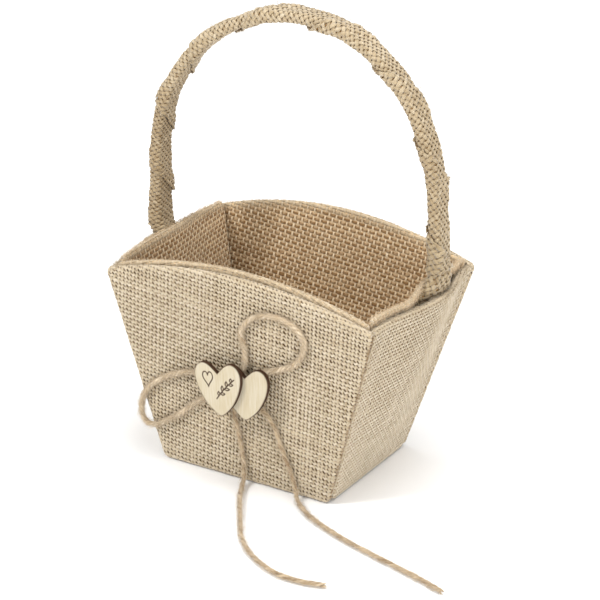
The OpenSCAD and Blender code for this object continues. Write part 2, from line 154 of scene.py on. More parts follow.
# ---------------------------------------------------------------- mesh building
class Mesh:
    """Collects tubes and patches in millimetres, with a fibre coordinate and a bake layout."""

    def __init__(self):
        self.v, self.f, self.fib, self.uv, self.tone, self.rim, self.n = [], [], [], [], [], [], 0

    def tube(self, rings, fib, uv_box, closed_ends=True, tone=0.0, rim=0.0):
        """rings: (R, S, 3) vertices in mm; fib: (R, S, 3); uv_box: x0, y0, x1, y1 in the bake layout."""
        R, S = rings.shape[:2]
        base = self.n
        self.v.append(rings.reshape(-1, 3))
        self.fib.append(fib.reshape(-1, 3))
        self.tone.append(np.full(R * S, tone, np.float32) if np.isscalar(tone) else np.repeat(tone, S).astype(np.float32))
        self.rim.append(np.full(R * S, rim, np.float32) if np.isscalar(rim) else np.repeat(rim, S).astype(np.float32))
        i, k = np.meshgrid(np.arange(R - 1), np.arange(S), indexing="ij")
        k2 = (k + 1) % S
        q = np.stack([base + i * S + k, base + i * S + k2, base + (i + 1) * S + k2, base + (i + 1) * S + k], -1).reshape(-1, 4)
        x0, y0, x1, y1 = uv_box
        ux = lambda a: x0 + (x1 - x0) * a / S
        uy = lambda a: y0 + (y1 - y0) * a / max(R - 1, 1)
        uv = np.stack([np.stack([ux(k), uy(i)], -1), np.stack([ux(k + 1), uy(i)], -1),
                       np.stack([ux(k + 1), uy(i + 1)], -1), np.stack([ux(k), uy(i + 1)], -1)], -2).reshape(-1, 4, 2)
        self.f.append(q)
        self.uv.append(uv.reshape(-1, 2))
        if closed_ends:
            for ring, flip in ((0, True), (R - 1, False)):
                idx = base + ring * S + np.arange(S)
                if flip:
                    idx = idx[::-1]
                # a fan of quads, with a last triangle written as a quad where S is odd
                fans = []
                for a in range(1, S - 1, 2):
                    c = a + 2 if a + 2 < S else None
                    fans.append([idx[0], idx[a], idx[a + 1], idx[c] if c is not None else -1])
                self.f.append(np.array(fans))
                y = y0 if ring == 0 else y1
                self.uv.append(np.tile([[x0, y]], (sum(3 if r[3] < 0 else 4 for r in fans), 1)) + 0.0)
        self.n += R * S

    def patch(self, verts, quads, fib, uv, tone=0.0):
        base = self.n
        self.v.append(verts)
        self.fib.append(fib)
        self.tone.append(np.full(len(verts), tone, np.float32) if np.isscalar(tone) else np.asarray(tone, np.float32))
        self.rim.append(np.zeros(len(verts), np.float32))
        self.f.append(np.where(quads < 0, -1, quads + base))
        self.uv.append(uv)
        self.n += len(verts)

    def make(self, name, material, smooth=True, flip=False):
        V = np.concatenate(self.v).astype(np.float32) * MM
        F = np.concatenate(self.f)
        UV = np.concatenate(self.uv).astype(np.float32)
        if flip:
            F = F[:, ::-1]
        sizes = (F >= 0).sum(1)
        loops = F.reshape(-1)
        loops = loops[loops >= 0].astype(np.int32)
        starts = np.concatenate([[0], np.cumsum(sizes)[:-1]]).astype(np.int32)
        me = bpy.data.meshes.new(name)
        me.vertices.add(len(V))
        me.vertices.foreach_set("co", V.ravel())
        me.loops.add(len(loops))
        me.loops.foreach_set("vertex_index", loops)
        me.polygons.add(len(F))
        me.polygons.foreach_set("loop_start", starts)
        me.polygons.foreach_set("loop_total", sizes.astype(np.int32))
        me.update(calc_edges=True)
        layer = me.uv_layers.new(name="OFBake")
        layer.data.foreach_set("uv", UV.ravel())
        a = me.attributes.new("fibre", "FLOAT_VECTOR", "POINT")
        a.data.foreach_set("vector", np.concatenate(self.fib).astype(np.float32).ravel())
        a = me.attributes.new("tone", "FLOAT", "POINT")
        a.data.foreach_set("value", np.concatenate(self.tone).astype(np.float32))
        a = me.attributes.new("rim", "FLOAT", "POINT")
        a.data.foreach_set("value", np.concatenate(self.rim).astype(np.float32))
        me.polygons.foreach_set("use_smooth", np.full(len(F), smooth))
        me.validate()
        me.materials.append(material)
        ob = bpy.data.objects.new(name, me)
        bpy.context.scene.collection.objects.link(ob)
        return ob


# ---------------------------------------------------------------- cloth that wraps a board
def outline(b, t, length, rise, v0, v1, inset, corner, n=56):
    """A wall's outline inset from its edges, with rounded corners, anticlockwise."""
    def half(v):
        return b + (t - b) * v / length
    top = [((t - inset) * (1 - 2 * i / n), v1 + rise * (1 - (1 - 2 * i / n) ** 2) - inset) for i in range(n + 1)]
    pts = np.array([(-half(v0) + inset, v0 + inset), (half(v0) - inset, v0 + inset)] + top)
    # round the four corners by walking the outline with a small disc
    m = len(pts)
    out = []
    corner_ids = {0, 1, 2, m - 1}
    for i in range(m):
        p, a, c = pts[i], pts[i - 1], pts[(i + 1) % m]
        if i not in corner_ids:
            if np.hypot(*(p - pts[2])) > corner * 1.2 and np.hypot(*(p - pts[m - 1])) > corner * 1.2:
                out.append(p)
            continue
        d1, d2 = (a - p) / np.linalg.norm(a - p), (c - p) / np.linalg.norm(c - p)
        ang = math.acos(np.clip(d1 @ d2, -1, 1))
        r = corner
        reach = r / math.tan(ang / 2)
        s, e = p + d1 * reach, p + d2 * reach
        mid = unit(d1 + d2)
        ctr = p + mid * r / math.sin(ang / 2)
        a0 = math.atan2(*(s - ctr)[::-1])
        a1 = math.atan2(*(e - ctr)[::-1])
        while a1 < a0:
            a1 += 2 * PI
        for k in range(7):
            w = a0 + (a1 - a0) * k / 6
            out.append(ctr + r * np.array([math.cos(w), math.sin(w)]))
    return np.array(out)


class Wrapped:
    """Maps flat cloth (x, y, height) in mm on to a slab with rounded edges, standing in the box."""

    def __init__(self, place, edge, w_face, w_back, r, tail, bow=None, step=0.7):
        """edge: outline of the slab's flat part. The cloth's middle lies at w_face, rounds the edge with radius r, and goes on
        over the back at w_back, for tail mm. bow(u, v) bends the whole slab."""
        self.place, self.bow, self.r, self.tail = place, bow, r, tail
        self.sign = 1.0 if w_face > w_back else -1.0
        self.flat = abs(w_face - w_back) - 2 * r        # straight part of the edge
        self.reach = PI * r + self.flat                   # length of cloth from front to back
        lo = edge.min(0) - self.reach - tail - 1
        hi = edge.max(0) + self.reach + tail + 1
        self.lo, self.step = lo, step
        nx, ny = (np.ceil((hi - lo) / step) + 1).astype(int)
        X, Y = np.meshgrid(lo[0] + step * np.arange(nx), lo[1] + step * np.arange(ny), indexing="ij")
        P = np.stack([X.ravel(), Y.ravel()], 1)
        A, B = edge, np.roll(edge, -1, 0)
        best = np.full(len(P), 1e9)
        C = np.zeros_like(P)
        inside = np.zeros(len(P), bool)
        for a, b in zip(A, B):
            ab = b - a
            t = np.clip(((P - a) @ ab) / max(ab @ ab, 1e-12), 0, 1)
            q = a + t[:, None] * ab
            d = ((P - q) ** 2).sum(1)
            near = d < best
            best[near] = d[near]
            C[near] = q[near]
            cross = ((a[1] > P[:, 1]) != (b[1] > P[:, 1])) & (P[:, 0] < (b[0] - a[0]) * (P[:, 1] - a[1]) / (b[1] - a[1] + 1e-12) + a[0])
            inside ^= cross
        d = np.sqrt(best)
        n2 = unit(P - C)
        d = np.where(inside, -d, d)
        pos = np.zeros((len(P), 3))
        nrm = np.zeros((len(P), 3))
        s = self.sign
        q = PI / 2 * r
        # face
        pos[:] = np.stack([P[:, 0], P[:, 1], np.full(len(P), w_face)], 1)
        nrm[:] = [0, 0, s]
        # first bend, straight side, second bend, back
        m = (d > 0) & (d <= q)
        ph = d[m] / r
        pos[m] = np.column_stack([C[m] + n2[m] * (r * np.sin(ph))[:, None], w_face - s * r * (1 - np.cos(ph))])
        nrm[m] = np.column_stack([n2[m] * np.sin(ph)[:, None], s * np.cos(ph)])
        m = (d > q) & (d <= q + self.flat)
        pos[m] = np.column_stack([C[m] + n2[m] * r, w_face - s * (r + d[m] - q)])
        nrm[m] = np.column_stack([n2[m], np.zeros(m.sum())])
        m = (d > q + self.flat) & (d <= self.reach)
        ph = (d[m] - q - self.flat) / r + PI / 2
        pos[m] = np.column_stack([C[m] + n2[m] * (r * np.sin(ph))[:, None], w_face - s * (r * (1 - np.cos(ph)) + self.flat)])
        nrm[m] = np.column_stack([n2[m] * np.sin(ph)[:, None], s * np.cos(ph)])
        m = d > self.reach
        pos[m] = np.column_stack([C[m] - n2[m] * (d[m] - self.reach)[:, None], np.full(m.sum(), w_back)])
        nrm[m] = [0, 0, -s]
        if bow is not None:
            pos[:, 2] += bow(pos[:, 0], pos[:, 1])
        self.grid = np.concatenate([pos, nrm, d[:, None]], 1).reshape(nx, ny, 7)

    def look(self, x, y):
        fx = np.clip((x - self.lo[0]) / self.step, 0, self.grid.shape[0] - 1.001)
        fy = np.clip((y - self.lo[1]) / self.step, 0, self.grid.shape[1] - 1.001)
        i, j = fx.astype(int), fy.astype(int)
        a, b = (fx - i)[..., None], (fy - j)[..., None]
        G = self.grid
        return (G[i, j] * (1 - a) + G[i + 1, j] * a) * (1 - b) + (G[i, j + 1] * (1 - a) + G[i + 1, j + 1] * a) * b

    def __call__(self, x, y, h):
        g = self.look(x, y)
        p = g[..., :3] + unit(g[..., 3:6]) * h[..., None]
        return self.place(p)

    def keep(self, x, y):
        return self.look(x, y)[..., 6] < self.reach + self.tail

    def normal(self, x, y):
        g = self.look(x, y)
        return self.place.turn_only(unit(g[..., 3:6]))

    def span(self):
        hi = self.lo + self.step * (np.array(self.grid.shape[:2]) - 1)
        return self.lo, hi


class Stand:
    """Places a wall's own (u, v, w) in the row frame, in mm: w is out of the box."""

    def __init__(self, dist, lean, turn):
        t = math.radians(turn)
        rz = np.array([[math.cos(t), -math.sin(t), 0], [math.sin(t), math.cos(t), 0], [0, 0, 1]])
        a = PI / 2 + lean
        rx = np.array([[1, 0, 0], [0, math.cos(a), -math.sin(a)], [0, math.sin(a), math.cos(a)]])
        self.m = rz @ rx
        self.o = rz @ np.array([0, -dist, 0.0])

    def __call__(self, p):
        return p @ self.m.T + self.o

    def turn_only(self, n):
        return n @ self.m.T


class Level:
    """Places a flat pad's (u, v, w): w is up."""

    def __call__(self, p):
        return p

    def turn_only(self, n):
        return n


def weave(mesh, surf, seed, px, py, angle=0.0, origin=(0.0, 0.0), wide=0.34, thick=0.29, lift=0.27, wobble=0.10, sides=6,
          rings=2, keep=None, uv=(0.0, 0.0, 0.94, 1.0), slub=0.16, tones=(0.0, 0.0), skew=0.0, painted_height_shade=1.5):
    """Plain weave as real yarns: warp along y, weft along x, each one a closed tube that goes over and under."""
    rng = np.random.RandomState(seed)
    ca, sa = math.cos(math.radians(angle)), math.sin(math.radians(angle))
    lo, hi = surf.span()
    c = (lo + hi) / 2
    R = np.linalg.norm(hi - lo) / 2 + 2
    keep = keep or surf.keep

    def flat(x, y):
        return origin[0] + x * ca - y * sa, origin[1] + x * sa + y * ca

    # the weave's own coordinates of the middle of the patch
    dx, dy = c[0] - origin[0], c[1] - origin[1]
    mx, my = dx * ca + dy * sa, -dx * sa + dy * ca
    i0, i1 = int((mx - R) / px), int((mx + R) / px)
    j0, j1 = int((my - R) / py), int((my + R) / py)
    jobs = []
    wides = wide if isinstance(wide, tuple) else (wide, wide)
    for family in (0, 1):
        p_own, p_other = (px, py) if family == 0 else (py, px)
        a0, a1 = (i0, i1) if family == 0 else (j0, j1)
        b0, b1 = (j0, j1) if family == 0 else (i0, i1)
        n = (b1 - b0) * rings
        t = b0 + (np.arange(n) + 0.5) / rings          # in crossings, a crest at each whole number
        shift_own = np.cumsum(rng.normal(0, 0.02, a1 - a0 + 1)) * p_own * 0.5
        shift_own -= np.linspace(shift_own[0], shift_own[-1], len(shift_own))
        for a in range(a0, a1 + 1):
            w = (a * p_own + shift_own[a - a0] + p_own * rng.normal(0, 0.035)
                 + p_own * wobble * (smooth_noise(rng, n, 14 * rings) + 0.45 * smooth_noise(rng, n, 3 * rings)))
            # the hard spin leans the yarns over between crossings, so the holes become slanted dashes
            w = w + p_own * skew * np.sin(2 * PI * t) * (1 + 0.35 * smooth_noise(rng, n, 5 * rings))
            along = t * p_other
            x, y = (w, along) if family == 0 else (along, w)
            X, Y = flat(x, y)
            ok = keep(X, Y)
            if ok.sum() < 3:
                continue
            idx = np.nonzero(ok)[0]
            cut = np.nonzero(np.diff(idx) > 1)[0]
            runs = np.split(idx, cut + 1)
            run = max(runs, key=len)
            if len(run) < 3:
                continue
            s = slice(run[0], run[-1] + 1)
            jobs.append((family, a, t[s], x[s], y[s], p_own, p_other))
    cols = len(jobs)
    for col, (family, a, t, x, y, p_own, p_other) in enumerate(jobs):
        m = len(t)
        over = 1 if family == 0 else -1
        h = over * (1 if a % 2 == 0 else -1) * lift * np.sin(PI * (t + 0.5)) * (1.15 if rings == 2 else 1.0)
        body = (1 + slub * smooth_noise(rng, m, 5 * rings) + 0.5 * slub * smooth_noise(rng, m, 1.3 * rings))
        if rng.rand() < 0.25:
            at = rng.randint(0, m)
            body += 0.28 * np.exp(-((np.arange(m) - at) / (3.0 * rings)) ** 2)
        body *= 1 + rng.normal(0, 0.05)
        wa = wides[family] * p_own * body
        tb = thick * (0.8 + 0.2 * body)
        if hasattr(surf, "look"):
            fold = np.clip((surf.look(*flat(x, y))[..., 6] + 1.0) / 1.8, 0, 1)
            fold = fold * fold * (3 - 2 * fold)
            h = h * (1 - 0.55 * fold)
            tb = tb * (1 - 0.25 * fold)
            wa = wa * (1 + 0.22 * fold)
        turn = rng.uniform(0, 6.28) + 0.25 * smooth_noise(rng, m, 4 * rings)
        th = 2 * PI * np.arange(sides) / sides
        ang = th[None] + 0 * turn[..., None] if np.ndim(turn) else th[None]
        off = wa[:, None] * np.cos(ang)
        up = h[:, None] + tb[:, None] * np.sin(ang)
        if family == 0:
            xx, yy = x[:, None] + off, np.repeat(y[:, None], sides, 1)
        else:
            # run the ring the other way so that the tube's outside stays outside
            xx, yy = np.repeat(x[:, None], sides, 1), y[:, None] - off
        X, Y = flat(xx, yy)
        V = surf(X, Y, up)
        L = np.concatenate([[0], np.cumsum(np.linalg.norm(np.diff(V[:, 0], axis=0), axis=1))])
        twist = L[:, None] * 0.9 + rng.uniform(0, 6.28)
        fib = np.stack([np.cos(ang + twist) * 1.0 + 7.3 * col, np.sin(ang + twist) * 1.0 + seed * 3.1, np.repeat(L[:, None], sides, 1)], -1)
        x0 = uv[0] + (uv[2] - uv[0]) * (col + 0.04) / cols
        x1 = uv[0] + (uv[2] - uv[0]) * (col + 0.96) / cols
        span = 0.004 + 0.992 * min(1.0, m / 160)
        # on the lining's painted lit rim band the height shade and the family tones are eased off
        rim = surf.rim_at(*flat(x, y)) if hasattr(surf, "rim_at") else 0.0
        # painted shade and highlight: each ring's tone follows its height, lighter on the crests and darker where the
        # yarn dips under the crossing yarn
        mesh.tube(V, fib, (x0, uv[1] + 0.004, x1, uv[1] + (uv[3] - uv[1]) * span),
                  tone=float(np.clip(rng.normal(0, 0.5), -1.3, 1.3)) + (painted_height_shade * h / lift + tones[family]) * (1 - 0.8 * rim)
                  + (surf.painted_shade_at(*flat(x, y)) if hasattr(surf, "painted_shade_at") else 0.0), rim=rim)
    return cols


def hairs(mesh, surf, seed, count, long=(0.8, 2.6), thick=0.05, uv=(0.95, 0.0, 1.0, 1.0), keep=None, area=None, side=3, box=None):
    """Loose fibres that stand off the cloth: thin closed tubes with a curl."""
    rng = np.random.RandomState(seed)
    lo, hi = box or surf.span()
    keep = keep or surf.keep
    made = 0
    tries = 0
    while made < count and tries < count * 6:
        tries += 1
        x, y = rng.uniform(lo[0], hi[0]), rng.uniform(lo[1], hi[1])
        xa, ya = np.array([x]), np.array([y])
        if not keep(xa, ya)[0] or (area is not None and not area(x, y)):
            continue
        n = 5
        L = rng.uniform(*long)
        a = rng.uniform(0, 2 * PI)
        bend = rng.normal(0, 0.8)
        rise = rng.uniform(0.15, 0.9)
        s = np.linspace(0, 1, n)
        dirs = a + bend * s
        px = x + np.cumsum(np.cos(dirs)) * L / n * math.cos(rise)
        py = y + np.cumsum(np.sin(dirs)) * L / n * math.cos(rise)
        hh = 0.35 + L * math.sin(rise) * np.sin(s * rng.uniform(1.4, 2.9)) * 0.8
        C = surf(px, py, hh)
        T, N, B = frames_along(C)
        r = thick * rng.uniform(0.6, 1.3) * np.array([1, 1, 0.85, 0.6, 0.25])
        th = 2 * PI * np.arange(side) / side
        V = C[:, None] + r[:, None, None] * (np.cos(th)[None, :, None] * N[:, None] + np.sin(th)[None, :, None] * B[:, None])
        k = made % 400
        x0 = uv[0] + (uv[2] - uv[0]) * ((k % 20) / 20)
        y0 = (k // 20) / 20
        fib = np.repeat(np.stack([np.full(n, made * 1.7), np.full(n, seed * 1.0), s * L], -1)[:, None], side, 1)
        mesh.tube(V, fib, (x0, y0, x0 + (uv[2] - uv[0]) / 24, y0 + 0.04), tone=float(rng.uniform(0.2, 1.4)))
        made += 1


# ---------------------------------------------------------------- materials
def node_material(name):
    m = bpy.data.materials.new(name)
    m.use_nodes = True
    nt = m.node_tree
    for n in list(nt.nodes):
        nt.nodes.remove(n)
    out = nt.nodes.new("ShaderNodeOutputMaterial")
    bsdf = nt.nodes.new("ShaderNodeBsdfPrincipled")
    nt.links.new(bsdf.outputs[0], out.inputs[0])
    return m, nt, bsdf


def ramp(nt, stops, interp="LINEAR"):
    r = nt.nodes.new("ShaderNodeValToRGB")
    r.color_ramp.interpolation = interp
    e = r.color_ramp.elements
    while len(e) > 1:
        e.remove(e[-1])
    e[0].position, e[0].color = stops[0][0], (*stops[0][1], 1)
    for p, c in stops[1:]:
        x = e.new(p)
        x.color = (*c, 1)
    return r


def math_node(nt, op, a, b, clamp=False):
    n = nt.nodes.new("ShaderNodeMath")
    n.operation = op
    n.use_clamp = clamp
    for i, v in enumerate((a, b)):
        if isinstance(v, (int, float)):
            n.inputs[i].default_value = v
        else:
            nt.links.new(v, n.inputs[i])
    return n.outputs[0]


def mix_color(nt, blend, fac, a, b):
    n = nt.nodes.new("ShaderNodeMix")
    n.data_type = "RGBA"
    n.blend_type = blend
    for sock, v in ((n.inputs[0], fac), (n.inputs[6], a), (n.inputs[7], b)):
        if isinstance(v, (int, float)):
            sock.default_value = v
        elif isinstance(v, tuple):
            sock.default_value = (*v, 1)
        else:
            nt.links.new(v, sock)
    return n.outputs[2]


def srgb(r, g, b):
    """An 8-bit screen colour as the linear colour a shader takes."""
    f = lambda c: c / 12.92 if c <= 0.04045 else ((c + 0.055) / 1.055) ** 2.4
    return tuple(f(c / 255) for c in (r, g, b))


def yarn_material(name, dark, mid, light, rough=0.86, sheen=0.25, speck=0.5, bump=0.35, fine=2.6, rim=None):
    """Jute: fibres that run with the yarn, thin and thick places of colour, the odd dark fleck of bark."""
    m, nt, bsdf = node_material(name)
    at = nt.nodes.new("ShaderNodeAttribute"); at.attribute_name = "fibre"
    tone = nt.nodes.new("ShaderNodeAttribute"); tone.attribute_name = "tone"
    mp = nt.nodes.new("ShaderNodeMapping"); mp.inputs["Scale"].default_value = (fine, fine, 0.32)
    nt.links.new(at.outputs["Vector"], mp.inputs[0])
    fib = nt.nodes.new("ShaderNodeTexNoise"); fib.inputs["Scale"].default_value = 1.0
    fib.inputs["Detail"].default_value = 4.0; fib.inputs["Roughness"].default_value = 0.62
    nt.links.new(mp.outputs[0], fib.inputs["Vector"])
    mp2 = nt.nodes.new("ShaderNodeMapping"); mp2.inputs["Scale"].default_value = (0.22, 0.22, 0.11)
    nt.links.new(at.outputs["Vector"], mp2.inputs[0])
    slow = nt.nodes.new("ShaderNodeTexNoise"); slow.inputs["Scale"].default_value = 1.0; slow.inputs["Detail"].default_value = 2.0
    nt.links.new(mp2.outputs[0], slow.inputs["Vector"])
    # fibres and slow drift make the position on the colour ramp
    a = math_node(nt, "MULTIPLY_ADD", fib.outputs[0], 0.85)
    nt.nodes[-1].inputs[2].default_value = -0.17
    b = math_node(nt, "MULTIPLY_ADD", slow.outputs[0], 0.7)
    nt.nodes[-1].inputs[2].default_value = -0.10
    s = math_node(nt, "ADD", a, b)
    t = math_node(nt, "MULTIPLY", tone.outputs["Fac"], 0.10)
    s = math_node(nt, "ADD", s, t)
    s = math_node(nt, "MULTIPLY", s, 0.9, clamp=True)
    r = ramp(nt, [(0.0, dark), (0.45, mid), (1.0, light)])
    nt.links.new(s, r.inputs[0])
    cloth = r.outputs[0]
    # painted shade and light: the lining's main ramp is a browner copy of the burlap standing in for its warm shade
    # inside the basket; near the top edge it blends by the rim attribute to a greyer ramp, the same burlap where light
    # reaches the rim
    if rim:
        r2 = ramp(nt, [(0.0, rim[0]), (0.45, rim[1]), (1.0, rim[2])])
        nt.links.new(s, r2.inputs[0])
        ra = nt.nodes.new("ShaderNodeAttribute"); ra.attribute_name = "rim"
        cloth = mix_color(nt, "MIX", ra.outputs["Fac"], cloth, r2.outputs[0])
    # flecks
    mp3 = nt.nodes.new("ShaderNodeMapping"); mp3.inputs["Scale"].default_value = (1.1, 1.1, 0.5)
    nt.links.new(at.outputs["Vector"], mp3.inputs[0])
    fl = nt.nodes.new("ShaderNodeTexNoise"); fl.inputs["Scale"].default_value = 1.0; fl.inputs["Detail"].default_value = 3.0
    nt.links.new(mp3.outputs[0], fl.inputs["Vector"])
    fr = ramp(nt, [(0.66, (0, 0, 0)), (0.74, (1, 1, 1))])
    nt.links.new(fl.outputs[0], fr.inputs[0])
    f = math_node(nt, "MULTIPLY", fr.outputs[0], speck)
    col = mix_color(nt, "MIX", f, cloth, tuple(c * 0.55 for c in dark))
    nt.links.new(col, bsdf.inputs["Base Color"])
    rr = nt.nodes.new("ShaderNodeMapRange")
    rr.inputs["To Min"].default_value = rough - 0.12; rr.inputs["To Max"].default_value = min(rough + 0.12, 1.0)
    nt.links.new(fib.outputs[0], rr.inputs[0])
    nt.links.new(rr.outputs[0], bsdf.inputs["Roughness"])
    bu = nt.nodes.new("ShaderNodeBump"); bu.inputs["Strength"].default_value = bump; bu.inputs["Distance"].default_value = 0.00012
    nt.links.new(fib.outputs[0], bu.inputs["Height"])
    nt.links.new(bu.outputs[0], bsdf.inputs["Normal"])
    bsdf.inputs["Sheen Weight"].default_value = sheen
    bsdf.inputs["Sheen Roughness"].default_value = 0.5
    bsdf.inputs["Specular IOR Level"].default_value = 0.25
    return m


def backing_material(name, color, vary=0.25):
    """The glued back of the cloth, seen through the holes of the weave."""
    m, nt, bsdf = node_material(name)
    co = nt.nodes.new("ShaderNodeTexCoord")
    n = nt.nodes.new("ShaderNodeTexNoise"); n.inputs["Scale"].default_value = 420; n.inputs["Detail"].default_value = 3
    nt.links.new(co.outputs["Object"], n.inputs["Vector"])
    r = ramp(nt, [(0.3, tuple(c * (1 - vary) for c in color)), (0.7, tuple(c * (1 + vary) for c in color))])
    nt.links.new(n.outputs[0], r.inputs[0])
    nt.links.new(r.outputs[0], bsdf.inputs["Base Color"])
    bu = nt.nodes.new("ShaderNodeBump"); bu.inputs["Strength"].default_value = 0.4; bu.inputs["Distance"].default_value = 0.0002
    nt.links.new(n.outputs[0], bu.inputs["Height"])
    nt.links.new(bu.outputs[0], bsdf.inputs["Normal"])
    rr = nt.nodes.new("ShaderNodeMapRange"); rr.inputs["To Min"].default_value = 0.8; rr.inputs["To Max"].default_value = 1.0
    nt.links.new(n.outputs[0], rr.inputs[0]); nt.links.new(rr.outputs[0], bsdf.inputs["Roughness"])
    bsdf.inputs["Specular IOR Level"].default_value = 0.15
    return m


OUTER = yarn_material("outer_burlap_yarn", srgb(124, 99, 62), srgb(183, 166, 138), srgb(215, 203, 182), sheen=0.35)
# LINER's main ramp is painted warm shade of the burlap; its rim ramp is the lit top edge of the same cloth
LINER = yarn_material("lining_burlap_yarn", srgb(130, 98, 60), srgb(206, 180, 144), srgb(240, 222, 192),
                      rim=(srgb(138, 117, 87), srgb(184, 166, 138), srgb(214, 200, 176)))
TAPE = yarn_material("handle_burlap_yarn", srgb(122, 98, 63), srgb(165, 146, 115), srgb(208, 194, 168), sheen=0.35)
JUTE = yarn_material("jute_twine_fibre", srgb(132, 107, 76), srgb(194, 173, 142), srgb(226, 212, 188), fine=3.4, bump=0.8, speck=0.6, sheen=0.45)
# painted shade: the outer cloth's backing is a dark brown that stands for the shade deep in the weave's holes
OUTER_BACK_PAINTED_SHADE = backing_material("outer_burlap_backing", srgb(90, 61, 28))
SIDE_BACK = backing_material("side_burlap_backing", srgb(142, 111, 72))
LINER_BACK = backing_material("lining_burlap_backing", srgb(209, 183, 145))
TAPE_BACK = backing_material("handle_burlap_backing", srgb(162, 126, 80))


# ---------------------------------------------------------------- wall covers and linings
def bow_of(b, t, length, *bulges):
    """The board gives way round the handle's tucked leg: bulges that grow towards the top."""
    def bow(u, v):
        vv = np.clip(v, 0, length * 1.06)
        s = u / (b + (t - b) * vv / length) * t
        total = 0 * s
        for amount, mid, before, after in bulges:
            reach = np.where(s < mid, before, after)
            total = total + amount * np.clip(1 - ((s - mid) / reach) ** 2, 0, 1) ** 2
        return total * vv / length
    return bow


def hollow_of(side):
    return (-SLOT_W, OUT_OF[side][1], SLOT_REACH, SLOT_REACH)


CLOTH_MID = 0.36      # the cloth's middle below the slab's outer face
BEND = 0.95           # bend radius of the cloth's middle


def backing(mesh_name, surf, edge, w_face, w_back, r, tail, drop, material, node):
    """The cloth's own thin sheet, under the yarns: face, bent edge and the part turned in, closed with a 0.12 mm thickness."""
    s = 1.0 if w_face > w_back else -1.0
    # close points along the straight sides too, so that the sheet follows a bulge
    fine = []
    for p, q in zip(edge, np.roll(edge, -1, 0)):
        k = max(1, int(math.ceil(np.linalg.norm(q - p) / 3.0)))
        fine += [p + (q - p) * i / k for i in range(k)]
    edge = np.array(fine)
    n = len(edge)
    prev, nxt = np.roll(edge, 1, 0), np.roll(edge, -1, 0)
    n2 = unit(unit(edge - prev)[:, [1, 0]] * [1, -1] + unit(nxt - edge)[:, [1, 0]] * [1, -1])
    flat = abs(w_face - w_back) - 2 * r

    def ring(d, inner):
        """Points at cloth distance d past the edge; inner is the depth under the cloth's middle."""
        rr = r - inner
        q = PI / 2 * r
        if d <= q:
            ph = d / r
            return np.column_stack([edge + n2 * rr * math.sin(ph), np.full(n, w_face - s * r + s * rr * math.cos(ph))])
        if d <= q + flat:
            return np.column_stack([edge + n2 * rr, np.full(n, w_face - s * (r + d - q))])
        if d <= 2 * q + flat:
            ph = (d - q - flat) / r + PI / 2
            return np.column_stack([edge + n2 * rr * math.sin(ph), np.full(n, w_back + s * r + s * rr * math.cos(ph))])
        return np.column_stack([edge - n2 * (d - 2 * q - flat), np.full(n, w_back + s * inner)])

    # rings from the middle of the face outwards, then round the edge and in over the back
    c = edge.mean(0)
    stations = []
    for k in range(22):
        f = k / 21
        base = c + (edge - c) * (0.02 + 0.98 * f)
        stations.append(("face", base))
    ds = list(np.linspace(0, 2 * (PI / 2 * r) + flat, 9)[1:]) + [2 * (PI / 2 * r) + flat + tail * x for x in (0.5, 1.0)]
    layers = []
    for inner in (drop, drop + 0.12):
        rows = [np.column_stack([b, np.full(n, w_face - s * inner)]) for _, b in stations]
        rows += [ring(d, inner) for d in ds]
        rows = np.array(rows)
        if surf.bow is not None:
            rows[..., 2] += surf.bow(rows[..., 0], rows[..., 1])
        layers.append(surf.place(rows))
    R = len(layers[0])
    verts = np.concatenate([layers[0].reshape(-1, 3), layers[1].reshape(-1, 3)])
    quads = []
    k = np.arange(n)
    k2 = (k + 1) % n
    for i in range(R - 1):
        quads.append(np.stack([i * n + k, i * n + k2, (i + 1) * n + k2, (i + 1) * n + k], 1))
        o = R * n
        quads.append(np.stack([o + i * n + k, o + (i + 1) * n + k, o + (i + 1) * n + k2, o + i * n + k2], 1))
    # rim at the cloth's cut edge, and caps over the small hole in the middle of the face
    a, b = (R - 1) * n, R * n + (R - 1) * n
    quads.append(np.stack([a + k, a + k2, b + k2, b + k], 1))
    ctr = surf.place(np.array([[*c, w_face - s * drop + (surf.bow(c[0], c[1]) if surf.bow else 0)],
                               [*c, w_face - s * (drop + 0.12) + (surf.bow(c[0], c[1]) if surf.bow else 0)]]))
    verts = np.vstack([verts, ctr])
    quads.append(np.stack([np.full(n, 2 * R * n), k2, k, np.full(n, -1)], 1))
    quads.append(np.stack([np.full(n, 2 * R * n + 1), R * n + k, R * n + k2, np.full(n, -1)], 1))
    quads = np.concatenate(quads)
    if s > 0:
        quads = np.where(quads[:, 3:] < 0, np.concatenate([quads[:, 2::-1], quads[:, 3:]], 1), quads[:, ::-1])
    me = bpy.data.meshes.new(mesh_name)
    me.from_pydata((verts * MM).tolist(), [], [[int(x) for x in q if x >= 0] for q in quads])
    me.update()
    me.validate()
    # outward normals all round
    import bmesh
    bm = bmesh.new(); bm.from_mesh(me)
    bmesh.ops.recalc_face_normals(bm, faces=bm.faces)
    bm.to_mesh(me); bm.free()
    me.polygons.foreach_set("use_smooth", np.ones(len(me.polygons), bool))
    me.materials.append(material)
    ob = bpy.data.objects.new(mesh_name, me)
    bpy.context.scene.collection.objects.link(ob)
    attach(ob, "root")
    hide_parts(node)
    return ob


